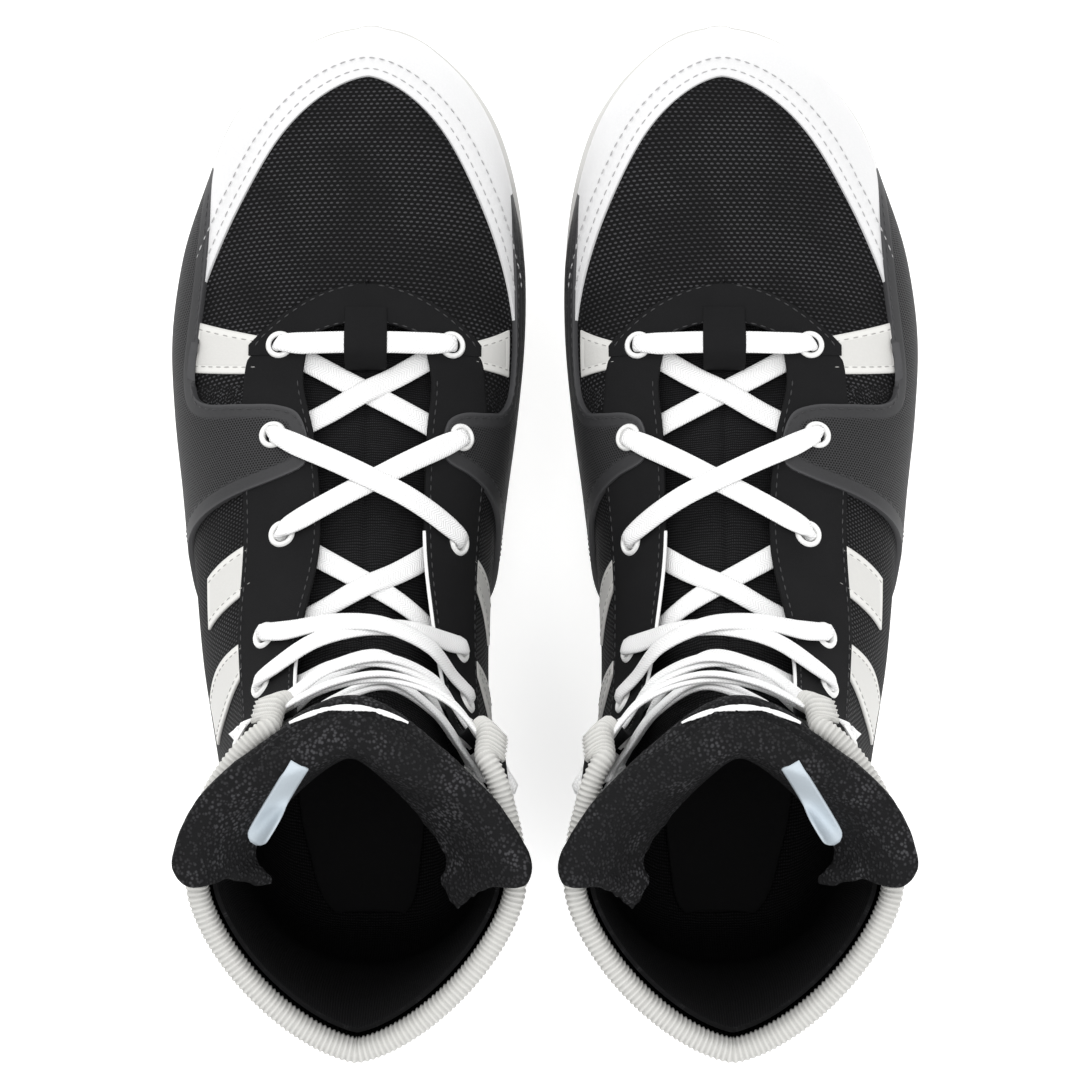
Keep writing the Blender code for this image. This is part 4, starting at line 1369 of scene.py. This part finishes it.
def make_patches():
    """Pale leather patches with turned and stitched edges."""
    made, rows = {}, []
    for name, (side, front, back) in PATCHES.items():
        low, high = line(signed(front, side), 34), line(signed(back, side), 34)
        start, end = (line((low[k], high[k]), 24, False) for k in (0, -1))
        places = patch(start, end, low, high)
        points, out = FORM.lay(places[..., 0], places[..., 1], 0.75)
        panel = draped(f"left_{name}_panel", points, out)
        rim_values(panel)
        flatten(panel)
        made[name] = thick(panel, 0.9, 0.3)
        rows += [inset(points, 2.0, "low")[1:-1], inset(points, 2.0, "high")[1:-1]]
    return made, rows


COUNTER = ((12.0, 0.93), (12.5, 0.83), (13.0, 0.75), (14.0, 0.68), (15.0, 0.76), (15.75, 1.0))


def make_counter():
    """Heel counter: one overlay round the heel that rises to a point at the back."""
    t = crowded(12.2, 15.75, 110, 1.6)

    def inner(t, side):
        return np.clip(smooth(COUNTER, t), 0, 1) * FORM.length(t, side)

    def outer(t, side):
        whole = FORM.length(t, side)
        return np.maximum(np.where(t > 12.9, whole, sole_arc(t, side, 4.0)), inner(t, side) + 0.02)

    counter, grids = band("left_heel_overlay", t, inner, outer, OVERLAY_HEIGHT + 0.2, 40)
    rim_values(counter)
    flatten(counter)
    rows = [inset(grids[side], d, "low")[3:-6] for side in (OUTER, INNER) for d in (1.6, 4.2)]
    return thick(counter, 1.4, 0.35), rows


def make_back_strip():
    """Tape over the seam at the back of the shaft."""
    t = np.linspace(15.3, 17.82, 60)
    strip, grids = band("left_back_strip", t,
                        lambda t, s: FORM.length(t, s) - 6.5 - 1.5 * ease(15.2, 18.0, t),
                        lambda t, s: FORM.length(t, s), OVERLAY_HEIGHT, 8)
    rim_values(strip)
    rows = [inset(grids[side], 1.5, "low")[1:-1] for side in (OUTER, INNER)]
    return thick(strip, 1.3, 0.3), rows


def make_lining():
    """Knitted inner bootie, open along the facings."""
    t = np.concatenate((np.linspace(-0.5, 6.85, 110), np.linspace(6.9, 17.8, 120)))

    def front(side):
        arcs = np.interp(t, HOLE_ROWS, HOLE_ARCS[side]) + 6.0
        return np.where(t < 6.88, 0.0, arcs / FORM.length(t, side))

    u = np.linspace(0, 1, 91)[None]
    low, high = front(INNER)[:, None], front(OUTER)[:, None]
    share = low + (2 - high - low) * u
    share[:, -1] = np.where(high[:, 0] == 0, 1.99999, share[:, -1])
    points, out = FORM.read(t[:, None], share, -5.2)
    piece = draped("left_inner_lining", points, out)
    merge(piece, 0.05)
    return thick(piece, 1.2, 0.3)


# ---------------------------------------------------------------- collar

RIB_STEPS = 6                   # rows of points to one rib of the tape
# The tape's way from the bottom of both facings' front edges up to the collar, as (t, arc).
TAPE_ENDS = {
    OUTER: ((16.6, 17.6), (17.1, 18.9), (17.6, 21.0), (17.93, 23.6), (COLLAR, 30.0)),
    INNER: ((16.6, 31.8), (17.1, 33.0), (17.6, 35.0), (17.93, 38.0), (COLLAR, 44.0)),
}
# The folded tape's section: (outwards, towards its edge, share of the reach down), whether its
# ribs swell there, and whether it is at a flap's edge.
TAPE_FOLD = (
    (2.7, 0, 1, 1, 1), (2.9, 0, 0.6, 1, 0), (2.9, -1.5, 0, 1, 0), (2.5, 0.5, 0, 1, 0),
    (1.4, 1.5, 0, 1, 0), (0, 1.8, 0, 1, 0), (-1.4, 1.5, 0, 1, 0), (-2.5, 0.5, 0, 1, 0),
    (-2.9, -1.5, 0, 1, 0), (-2.9, 0, 0.6, 1, 0), (-2.7, 0, 1, 1, 1), (-2.0, 0, 1, 0, 1),
    (-2.1, -1.0, 0, 0, 0), (0.0, 0.9, 0, 0, 0), (2.1, -1.0, 0, 0, 0), (2.0, 0, 1, 0, 1),
)


def tape_way(step):
    """Points and outward directions along the collar's edge, from one front end to the other."""
    halves = []
    for side in (OUTER, INNER):
        whole = float(FORM.length(COLLAR, side))
        turned = [*TAPE_ENDS[side], *((COLLAR, arc) for arc in np.linspace(52.0, whole - 0.01, 24))]
        places = line(signed(turned, side), 700)
        halves.append(flared(places[:, 0], places[:, 1], -1.2))
    path, out = (np.concatenate((outer, inner[::-1][1:])) for outer, inner in zip(*halves))
    run = distances(path)
    even = np.arange(0.0, run[-1], step)
    return read_off(even, run, path), unit(read_off(even, run, out))


def make_collar(sizes):
    """Ribbed tape folded over the collar and turned down at both front ends."""
    step = sizes.rib_pitch / MM / RIB_STEPS
    path, out = tape_way(step)
    edgeward = np.cross(unit(np.gradient(path, axis=0)), out)
    if edgeward[len(path) // 2][2] < 0:
        edgeward = -edgeward
    across, up, down, swells, flap = np.array(TAPE_FOLD, float).T
    up = up - down * (sizes.tape_height / MM)
    count = len(path)
    rib = 0.5 + 0.5 * np.cos(np.arange(count) * (2 * math.pi / RIB_STEPS))
    swell = (0.42 * (rib - 0.5))[:, None] * swells
    aside = (across + np.sign(across) * swell)[..., None]
    rise = (up + swell * (up > 0) - 0.55 * rib[:, None] * flap)[..., None]
    points = path[:, None] + aside * out[:, None] + rise * edgeward[:, None]
    points = np.concatenate((points, points[:, :1]), axis=1)
    piece = draped("left_collar_tape", points, points - (path - edgeward)[:, None],
                   cloth_map(widths(points), np.arange(count) * step))
    tree = tree_of(world(path))
    point_values(piece.data, "rib", [rib[tree.find(v.co)[1]] for v in piece.data.vertices])
    close(piece.data)
    return piece


def make_piping():
    """White piping along the upper part of both facings' front edges."""
    made = []
    for side, name, start in ((INNER, "medial", 9.75), (OUTER, "lateral", 12.2)):
        t = np.linspace(start, 13.2, 120)
        path, out = FORM.lay(t, side * edge_of(FACING_FRONT, t, side, -0.7), 0.4)
        made.append(sweep(f"left_{name}_piping", path, out, rounded(1.1, 1.1, 8, 2.0)))
    return made


# ---------------------------------------------------------------- tongue

def make_tongue():
    """Padded tongue under the facings, quilted along its middle."""
    t = np.linspace(6.3, 17.95, 240)
    edge = ((6.2, 18), (7.0, 29), (9.8, 33), (12.5, 40), (18, 46))
    arc = smooth(edge, t)[:, None] * np.linspace(-1, 1, 65)[None]
    seam = np.exp(-(arc / 1.1) ** 2)
    puff = 1.3 * np.cos(np.clip(np.abs(arc) / 15.0, 0, 1) * math.pi / 2)
    rib = 0.28 * np.cos(t[:, None] * T_LENGTH * 2 * math.pi / 6.5 - np.abs(arc) * 0.22)
    fade = 1 - ease(9.0, 13.0, np.abs(arc))
    lean = 6.0 * ease(14.2, 17.7, t)[:, None] * (1 - ease(12.0, 28.0, np.abs(arc)))
    height = -7.6 + puff - seam + rib * fade + lean
    points, out = FORM.lay(t[:, None], arc, height)
    piece = draped("left_tongue_pad", points, out)
    flatten(piece)
    return thick(piece, 4.6, 1.2, 3)


# The head's plan outline, from the end of the outer wing round the front to the inner one's.
HEAD_OUTLINE = ((-45.4, -91.5), (-47.6, -88.5), (-48.7, -82.1), (-46.8, -74.9), (-42.8, -66.8),
                (-36.8, -59.6), (-28.0, -51.6), (-19.7, -45.5), (-11.3, -40.4), (0.7, -36.8),
                (9.9, -39.6), (17.8, -45.0), (26.3, -51.6), (34.7, -59.2), (41.8, -67.1),
                (46.7, -74.9), (50.9, -83.0), (50.6, -88.1), (48.4, -91.5))
# Sections: (distance in from the outline, height), up the outer face and down the inner one.
HEAD_FRONT = ((-9.5, 185.0), (-4.0, 190.0), (-0.6, 194.5), (-0.2, 198.5), (-3.2, 203.5),
              (-7.8, 208.0), (-11.4, 210.4), (-14.6, 208.8), (-16.4, 204.0), (-17.6, 196.0),
              (-18.5, 186.0))
HEAD_WING = ((-13.5, 187.0), (-8.0, 192.5), (-2.6, 198.0), (-0.3, 202.0), (0.0, 205.0),
             (-2.4, 207.6), (-6.0, 206.6), (-10.5, 203.0), (-14.5, 198.0), (-18.5, 192.5),
             (-22.5, 187.0))
HEAD_CLEAR = 6.0                # how far inside the collar line the head's foot stays
HEAD_LOW, HEAD_HIGH = 194.0, 200.0      # heights between which that rule fades out
SEAM_COLUMNS = (17, 20)         # the section's points under the two seams of its rolled edge
CLOTH_FRAMES = 20


def head_loops(count=131):
    """Closed loops of the head's section, from the outer wing's end to the inner one's."""
    u = np.linspace(-1, 1, count)
    outline = line([(x, y, 0.0) for x, y in HEAD_OUTLINE], count - 1)
    way = unit(np.gradient(outline, axis=0))
    out = np.cross((0, 0, 1.0), way)
    shares = np.linspace(-0.7, 0.7, 281)
    collar, collar_out = FORM.read(COLLAR, shares)
    taped = np.where(shares < 0, ease(18.0, 25.0, -shares * FORM.length(COLLAR, OUTER)),
                     ease(33.0, 41.0, shares * FORM.length(COLLAR, INNER)))
    front, wing = np.array(HEAD_FRONT), np.array(HEAD_WING)
    loops = []
    for k in range(count):
        far = abs(u[k])
        profile = line(front + (wing - front) * ease(0.18, 0.62, far), 42)
        profile[:, 0] *= 1 + 0.18 * ease(0.5, 1.0, far)
        middle = (profile + profile[::-1]) / 2
        tip = math.sqrt(max(0.0, 1 - max(0.0, (far - 0.95) / 0.05) ** 2))
        profile = middle + (profile - middle) * (0.35 + 0.65 * tip)
        points = outline[k] + out[k] * profile[:, :1]
        points[:, 2] = profile[:, 1]
        for point in points:
            near = np.argmin(np.linalg.norm((collar - point)[:, :2], axis=1))
            flat = unit(collar_out[near] * (1, 1, 0))
            inside = ((collar[near] - point) * flat).sum()
            low = 1 - ease(HEAD_LOW, HEAD_HIGH, point[2])
            point[:2] -= flat[:2] * max(0.0, HEAD_CLEAR - inside) * low * taped[near]
        end_way = way[k] * math.copysign(1.0, u[k])
        points += end_way * (-profile[:, :1]) * 0.45 * ease(0.45, 1.0, far)
        loops.append(np.concatenate((points, points[:1])))
    loops = np.array(loops)
    for _ in range(8):
        loops[1:-1] = (loops[:-2] + 2 * loops[1:-1] + loops[2:]) / 4
    return loops


def puffed(piece, voxel, pressure, cap):
    """Blows a closed pad up a little as cloth, so that it fills and wrinkles like foam in mesh."""
    bpy.context.view_layer.objects.active = piece
    remesh = piece.modifiers.new("even", "REMESH")
    remesh.mode = "VOXEL"
    remesh.voxel_size = voxel * MM
    remesh.use_smooth_shade = True
    apply_all(piece)
    rest = vertex_values(piece.data)
    cloth = piece.modifiers.new("cloth", "CLOTH")
    cloth.settings.quality = 4
    cloth.settings.mass = 0.25
    cloth.settings.use_pressure = True
    cloth.settings.uniform_pressure_force = pressure
    cloth.settings.effector_weights.gravity = 0.0
    cloth.settings.tension_stiffness = 12.0
    cloth.settings.bending_stiffness = 0.4
    cloth.point_cache.frame_start = 1
    cloth.point_cache.frame_end = CLOTH_FRAMES
    scene = bpy.context.scene
    for number in range(1, CLOTH_FRAMES + 1):
        scene.frame_set(number)
    apply_all(piece)
    scene.frame_set(1)
    way = vertex_values(piece.data) - rest
    far = np.linalg.norm(way, axis=1, keepdims=True)
    set_points(piece.data, rest + way * np.minimum(1.0, cap * MM / np.maximum(far, 1e-9)))


def make_head():
    """The tongue's padded head: a funnel whose wings lean out over the collar."""
    loops = head_loops()
    piece = draped("left_tongue_head_pad", loops, loops - loops.mean(axis=1, keepdims=True))
    close(piece.data, 0.01)
    puffed(piece, 2.4, 3.0, 1.4)
    softer = piece.modifiers.new("softer", "SMOOTH")
    softer.iterations = 4
    softer.factor = 0.5
    finer = piece.modifiers.new("finer", "SUBSURF")
    finer.levels = 1
    finer.render_levels = 1
    apply_all(piece)
    press_seams(piece.data, loops)
    return piece


def press_seams(mesh, loops, depth=0.85, width=0.8):
    """Presses the two seam lines that hold the head's rolled edge."""
    seams = np.concatenate([resample(loops[4:-4, k], 0.5) for k in SEAM_COLUMNS])
    tree = tree_of(world(seams))
    co = vertex_values(mesh)
    far = np.array([tree.find(p)[2] for p in co]) / MM
    press = depth * np.exp(-(far / width) ** 2)
    set_points(mesh, co - vertex_values(mesh, "normal") * press[:, None] * MM)


def onto(piece, points, way):
    """Where lines through the points along way first meet a piece, with its outward directions."""
    tree = BVHTree.FromObject(piece, bpy.context.evaluated_depsgraph_get())
    way = Vector(way).normalized()
    found, outs = [], []
    for point in points:
        start = Vector(world(point)) - way * 0.1
        hit, out, _, _ = tree.ray_cast(start, way)
        if hit is None:
            hit, out, _, _ = tree.find_nearest(Vector(world(point)))
        found.append(np.array(hit) / MM - np.array((-BOOT_X, BOOT_Y, 0.0)))
        outs.append(np.array(out))
    return np.array(found), np.array(outs)


LABEL_START, LABEL_END = np.array((-12.9, -55.4)), np.array((-26.2, -78.2))
LABEL_LENGTH, LABEL_WIDTH = 27.0, 5.4
LABEL_ROWS, LABEL_COLUMNS = 29, 11
LABEL_LOW, LABEL_TOP = 188, 209.3       # heights between which the label lies
LABEL_TERMS = ((0, 0), (1, 0), (0, 1), (2, 0), (1, 1), (3, 0))      # powers along and across


def make_label(head):
    """Woven size label, sewn inside the head under its rolled edge; it is blank."""
    way = (LABEL_END - LABEL_START) / np.linalg.norm(LABEL_END - LABEL_START)
    across = np.array((-way[1], way[0]))
    v = np.linspace(0, 1, LABEL_ROWS)[:, None]
    u = np.linspace(-1, 1, LABEL_COLUMNS)[None]
    round_end = np.sqrt(np.clip(1 - np.clip((v - 0.9) / 0.1, 0, 1) ** 2, 0.12, 1))
    plan = (LABEL_START + way * LABEL_LENGTH * v[..., None]
            + across * (LABEL_WIDTH / 2) * u[..., None] * round_end[..., None])
    flat = np.concatenate((plan, np.full(plan.shape[:2] + (1,), 205.0)), axis=2)
    heights = onto(head, flat.reshape(-1, 3), (0, 0, -1))[0][:, 2]
    terms = np.stack([(v ** a * u ** b).ravel() for a, b in LABEL_TERMS], axis=1)
    sound = heights > LABEL_LOW
    fit = np.linalg.lstsq(terms[sound], heights[sound], rcond=None)[0]
    heights = np.maximum(terms @ fit, np.where(sound, heights, 0)).reshape(plan.shape[:2])
    for _ in range(8):
        heights[1:-1] = (heights[:-2] + heights[2:] + heights[1:-1]) / 3
        heights[:, 1:-1] = (heights[:, :-2] + heights[:, 2:] + heights[:, 1:-1]) / 3
    flat[..., 2] = np.minimum(heights + 0.9, LABEL_TOP)
    piece = draped("left_blank_label", flat, np.zeros_like(flat) + (0, 0, 1.0))
    rim_values(piece)
    return thick(piece, 0.5, 0.0)


def make_head_line(head, half=16):
    """A thin curved piping on the front of the tongue's head, as plain decoration."""
    x = np.linspace(-half, half, 60)
    y = -40.4 - 0.0165 * x ** 2
    points = np.stack((x, y, np.full_like(x, 205.0)), axis=1)
    found, outs = onto(head, points, (0.0, -0.12, -1.0))
    for _ in range(3):
        found[1:-1] = (found[:-2] + found[1:-1] + found[2:]) / 3
    taper = 0.25 + 0.75 * np.sqrt(np.clip(1 - (x / (half + 0.5)) ** 2, 0, 1))
    outline = rounded(1.9, 0.8, 10)[None] * taper[:, None, None]
    wide = np.cross(outs, unit(np.gradient(found, axis=0)))
    return sweep("left_head_piping", found + outs * 0.25, wide, outline)


# (t, height over the form) along the lace keeper, from its sewn front end over the lace
KEEPER_WAY = ((6.62, 1.6), (6.78, 1.9), (6.9, 2.7), (6.98, 3.8), (7.06, 4.5), (7.16, 4.6),
              (7.26, 4.3), (7.34, 3.2), (7.42, 0.8), (7.46, -2.5), (7.42, -6.4))


def make_keeper(sizes):
    """Loop of overlay tape on the tongue that keeps the first lace bar in place."""
    knots, fine = np.linspace(0, 1, len(KEEPER_WAY)), np.linspace(0, 1, 70)
    t, height = curve(knots, KEEPER_WAY, fine).T
    half = sizes.keeper_width / MM / 2
    points, out = FORM.lay(t[:, None], np.linspace(-half, half, 15)[None], height[:, None])
    piece = draped("left_lace_keeper", points, out)
    rim_values(piece)
    flatten(piece)
    return thick(piece, 1.1, 0.3)


# ---------------------------------------------------------------- lace

LACE_UNDER = -3.4               # a run's height under the facings
LACE_BULGE = (1.2, 1.2, 1.2, 5.0, 8.5, 9.5, 10.0, 9.5, 9.0)    # over the form, by upper row
LACE_STEP = 1.3                 # distance between two rings of the lace's points
GATHERED = (4.3, 2.6)           # width and thickness where it passes a hole


def run_heights(k, row):
    """Heights of a run's five points over the form; the upper rows hang loose."""
    middle = LACE_BULGE[row - 1]
    again = 1.7 if (k < 9) == (row > 4) else 0.0
    if k == 9:
        return (2.3, 3.0, 3.2, 3.0, 2.3)
    if k % 2 == 1:
        middle += again
        return (2.6, 1.6 + middle * 0.62, middle + 0.6, 1.6 + middle * 0.62, 2.6)
    if row < 4:
        return (-3.4, -4.0, again - 4.2, -4.0, -3.4)
    middle = middle - 3.4 + again
    return (-3.0, middle * 0.5 - 1.6, middle, middle * 0.5 - 1.6, -3.0)


def lace_turns():
    """The holes in the order in which the lace passes them: (row, side)."""
    turns = [(9 - k, OUTER if k % 2 == 0 else INNER) for k in range(9)]
    return turns + [(row, -side) for row, side in reversed(turns)]


def lace_tail(side):
    """Points and across directions of a lace end, tucked in behind the facing."""
    for t in (15.3, 15.9, 16.5, 16.85):
        arc = np.interp(t, HOLE_ROWS, HOLE_ARCS[side]) + 3.0
        place, out = FORM.lay(np.array([t]), np.array([side * arc]), -4.6)
        yield place[0], np.cross((0, 0, 1.0), out[0]), 0.3


def lace_points():
    """Points along the lace, their across directions and how far it is gathered at each."""
    turns = lace_turns()
    made = list(lace_tail(OUTER))
    for k, (row, side) in enumerate(turns):
        if k > 0:
            last_row, last_side = turns[k - 1]
            t0, t1 = HOLE_ROWS[last_row - 1], HOLE_ROWS[row - 1]
            a0 = last_side * HOLE_ARCS[last_side][last_row - 1]
            a1 = side * HOLE_ARCS[side][row - 1]
            way = unit(hole_place(side, row)[0] - hole_place(last_side, last_row)[0])
            lifts = (flare(t0, a0), flare(t0, a0) * 0.4, 0, flare(t1, a1) * 0.4, flare(t1, a1))
            heights = np.array(run_heights(k, min(row, last_row))) + lifts
            for f, height in zip((0.14, 0.32, 0.5, 0.68, 0.86), heights):
                t, arc = np.array([t0 + (t1 - t0) * f]), np.array([a0 + (a1 - a0) * f])
                place, out = FORM.lay(t, arc, height)
                made.append((place[0], np.cross(out[0], way), 0.0))
        middle, out = hole_place(side, row)
        wide = made[-1][1]
        passing = [(middle + out * (hole_height(row) + 1.5), wide, 0.75),
                   (middle + out * -0.3, wide, 1.0), (middle + out * LACE_UNDER, wide, 0.75)]
        made += passing if k % 2 == 1 else passing[::-1]
    made += reversed(list(lace_tail(INNER)))
    return [np.array(column) for column in zip(*made)]


def make_lace(sizes):
    """One flat lace through all eighteen holes, gathered where it passes a ring."""
    points, across, gather = lace_points()
    for k in range(1, len(across)):
        if (across[k] * across[k - 1]).sum() < 0:
            across[k:] *= -1
    at = distances(points, root=True)
    fine = np.linspace(0, at[-1], 6000)
    dense = curve(at, points, fine)
    run = distances(dense)
    even = np.linspace(0, run[-1], int(run[-1] / LACE_STEP))
    where = np.interp(even, run, fine)
    tight = ease(0.0, 1.0, np.interp(where, at, gather))
    flat = rounded(1.0, 1.0, 14, 3.0)
    loose = (sizes.lace_width / MM, sizes.lace_thickness / MM)
    outline = np.stack([flat[None, :, k] * (loose[k] + (GATHERED[k] - loose[k]) * tight)[:, None]
                        for k in (0, 1)], axis=2)
    print(f"lace length {run[-1] / 1000:.3f} m")
    return sweep("left_flat_lace", read_off(even, run, dense), read_off(where, at, across), outline)


# ---------------------------------------------------------------- operators

class SoleOperator(bpy.types.Operator):
    """Rubber cup, tread plate with its lugs, and the footbed"""

    bl_idname = "boots.make_soles"
    bl_label = "Soles and footbeds"

    def execute(self, context):
        pair(make_cup(), "sole rubber", "rubber_sole", "midsole_cup")
        plate = make_plate()
        lugs = make_lugs(plate)
        pair(plate, "sole rubber", "rubber_sole", "outsole")
        pair(lugs, "sole rubber", "rubber_sole")
        pair(make_footbed(), "footbed cloth", "insole_foam", "insole", body="insole")
        return {"FINISHED"}


class UpperOperator(bpy.types.Operator):
    """Mesh vamp and quarters, and the lining inside them"""

    bl_idname = "boots.make_uppers"
    bl_label = "Mesh uppers"

    def execute(self, context):
        pair(make_vamp(), "vamp mesh", "black_mesh", "vamp")
        for piece, (_, name) in zip(make_quarters(), SIDES):
            pair(piece, "quarter mesh", "black_mesh", f"{name}_quarter")
        pair(make_lining(), "lining knit", "lining_fabric", "lining")
        return {"FINISHED"}


class OverlayOperator(bpy.types.Operator):
    """Toe rand, throat, saddles, facings, patches and heel overlays with their stitching"""

    bl_idname = "boots.make_overlays"
    bl_label = "Overlays and stitching"

    def execute(self, context):
        sizes = context.scene.boot_sizes
        rand, rand_rows = make_rand()
        pair(rand, "toe leather", "white_overlay", "toe_rand")
        throat, throat_rows = make_throat()
        pair(throat, "suede", "black_suede", "throat_overlay")
        saddles, saddle_rows = make_saddles()
        facings, facing_rows = make_facings()
        for saddle, facing, (side, name) in zip(saddles, facings, SIDES):
            pierce([saddle, facing], side, sizes)
            pair(saddle, "perforated overlay", "black_overlay", f"{name}_saddle")
            pair(facing, "suede", "black_suede", f"{name}_facing")
        patches, patch_rows = make_patches()
        for name, piece in patches.items():
            pair(piece, "patch leather", "grey_overlay", *([] if "upper" in name else [name]))
        counter, counter_rows = make_counter()
        pair(counter, "perforated overlay", "black_overlay", "heel_counter")
        strip, strip_rows = make_back_strip()
        pair(strip, "suede", "black_suede")
        black = throat_rows + saddle_rows + facing_rows + counter_rows + strip_rows
        for name, rows, thread, slot in (("rand", rand_rows, "white thread", "white_overlay"),
                                         ("patch", patch_rows, "pale thread", "grey_overlay"),
                                         ("overlay", black, "black thread", "black_overlay")):
            sewn = stitches(f"left_{name}_stitches", rows, sizes.stitch_length / MM,
                            sizes.stitch_gap / MM)
            pair(sewn, thread, slot)
        return {"FINISHED"}


class EyeletOperator(bpy.types.Operator):
    """Enamelled eyelet rings"""

    bl_idname = "boots.make_eyelets"
    bl_label = "Eyelets"

    def execute(self, context):
        for side, name in SIDES:
            pair(make_rings(side, name, context.scene.boot_sizes), "eyelet enamel",
                 "white_eyelet", f"{name}_eyelets")
        return {"FINISHED"}


class CollarOperator(bpy.types.Operator):
    """Ribbed collar tape and the piping on the facings"""

    bl_idname = "boots.make_collars"
    bl_label = "Collar tape and piping"

    def execute(self, context):
        tape = make_collar(context.scene.boot_sizes)
        pair(tape, "collar tape", "white_binding", "collar_binding")
        for piping in make_piping():
            pair(piping, "white piping", "white_binding")
        return {"FINISHED"}


class TongueOperator(bpy.types.Operator):
    """Padded tongue, its head, the label, the piping and the lace keeper"""

    bl_idname = "boots.make_tongues"
    bl_label = "Tongues"

    def execute(self, context):
        pair(make_tongue(), "tongue mesh", "black_mesh", "tongue", fill=0.3)
        head = make_head()
        label, piping = make_label(head), make_head_line(head)
        bend = [tuple(world((0.0, FOLD_Y, FOLD_Z + rise))) for rise in (-8.0, 3.0)]
        pair(head, "head mesh", "black_mesh", "tongue_head", body="tongue_head", fill=0.6,
             bend=bend)
        pair(label, "size label", "label_fabric", "size_label", body="tongue_head")
        pair(piping, "white piping", "white_binding", body="tongue_head")
        pair(make_keeper(context.scene.boot_sizes), "suede", "black_overlay", "lace_loop")
        return {"FINISHED"}


class LaceOperator(bpy.types.Operator):
    """Flat laces through the eyelets"""

    bl_idname = "boots.make_laces"
    bl_label = "Laces"

    def execute(self, context):
        pair(make_lace(context.scene.boot_sizes), "lace", "white_lace", "lace")
        return {"FINISHED"}


class FrameOperator(bpy.types.Operator):
    """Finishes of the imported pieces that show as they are"""

    bl_idname = "boots.dress_frame"
    bl_label = "Packed pieces"

    def execute(self, context):
        kept = {"lasting_board": "lasting board", "lateral_aglet": "eyelet enamel",
                "medial_aglet": "eyelet enamel"}
        for hand, (name, finish) in itertools.product(("left", "right"), kept.items()):
            node = frame["nodes"][f"{hand}_{name}"]
            node.data.materials.clear()
            node.data.materials.append(finish_of(finish))
        return {"FINISHED"}


# Camera: above the boots and a little towards the toes, leaning back.
CAMERA_PLACE = (0.0, 0.1053, 1.5)
CAMERA_TILT = -4.596
CAMERA_LENS = 159.8
LAMPS = (("overhead", (0.0, 0.35, 2.4), 1.6, 34.0), ("front", (-0.9, 1.5, 1.3), 1.2, 12.0),
         ("back", (0.9, -1.5, 1.3), 1.2, 12.0))     # name, place, size, power
LAMP_TARGET = Vector((0.0, 0.0, 0.05))
FLOOR_DROP = 0.0005             # keeps the floor clear of the soles
FLOOR_GLOW, SKY_GLOW = 0.42, 0.62


class StageOperator(bpy.types.Operator):
    """Pale floor, soft lights and the camera"""

    bl_idname = "boots.make_stage"
    bl_label = "Stage"

    def execute(self, context):
        shape = bmesh.new()
        bmesh.ops.create_grid(shape, x_segments=2, y_segments=2, size=4.0)
        floor = link(mesh_of("studio_floor", shape))
        floor.location.z = -FLOOR_DROP
        finish = Finish("studio floor", (0.93, 0.93, 0.93), 0.9, 0.1)
        finish.colour(finish.mixed(finish.noise(1.5), (0.93, 0.93, 0.93), (0.95, 0.95, 0.95)))
        finish.shader.inputs["Emission Color"].default_value = (1.0, 1.0, 1.0, 1.0)
        finish.shader.inputs["Emission Strength"].default_value = FLOOR_GLOW
        floor.data.materials.append(finish.material)
        held = []
        for name, place, size, power in LAMPS:
            light = bpy.data.lights.new(name, "AREA")
            light.size = size
            light.energy = power
            turn = (LAMP_TARGET - Vector(place)).to_track_quat("-Z", "Y").to_euler()
            held.append((name, light, place, turn))
        camera = bpy.data.cameras.new("camera")
        camera.lens = CAMERA_LENS
        camera.clip_end = 50.0
        held.append(("camera", camera, CAMERA_PLACE, (math.radians(CAMERA_TILT), 0.0, 0.0)))
        for name, data, place, turn in held:
            holder = bpy.data.objects.new(name, data)
            holder.location = place
            holder.rotation_euler = turn
            context.scene.collection.objects.link(holder)
        context.scene.camera = holder
        sky = bpy.data.worlds.new("studio")
        sky.use_nodes = True
        sky.node_tree.nodes["Background"].inputs["Color"].default_value = (1, 1, 1, 1)
        sky.node_tree.nodes["Background"].inputs["Strength"].default_value = SKY_GLOW
        context.scene.world = sky
        context.scene.view_settings.view_transform = "Standard"
        return {"FINISHED"}


MAKERS = (SoleOperator, UpperOperator, OverlayOperator, EyeletOperator, CollarOperator,
          TongueOperator, LaceOperator, FrameOperator, StageOperator)


class BootPanel(bpy.types.Panel):
    """Lists the steps that build the boots, and the sizes and colours they use"""

    bl_idname = "VIEW3D_PT_boots"
    bl_label = "Boxing boots"
    bl_space_type = "VIEW_3D"
    bl_region_type = "UI"
    bl_category = "Boots"

    def draw(self, context):
        for maker in MAKERS:
            self.layout.operator(maker.bl_idname)
        for group in (context.scene.boot_sizes, context.scene.boot_colours):
            for name in group.bl_rna.properties.keys():
                if name not in ("rna_type", "name"):
                    self.layout.prop(group, name)


CLASSES = (BootSizes, BootColours, *MAKERS, BootPanel)


def register():
    for made in CLASSES:
        bpy.utils.register_class(made)
    bpy.types.Scene.boot_sizes = PointerProperty(type=BootSizes)
    bpy.types.Scene.boot_colours = PointerProperty(type=BootColours)


def unregister():
    del bpy.types.Scene.boot_colours
    del bpy.types.Scene.boot_sizes
    for made in reversed(CLASSES):
        bpy.utils.unregister_class(made)


def main():
    register()
    for maker in MAKERS:
        group, step = maker.bl_idname.split(".")
        getattr(getattr(bpy.ops, group), step)()


if __name__ == "__main__":
    main()
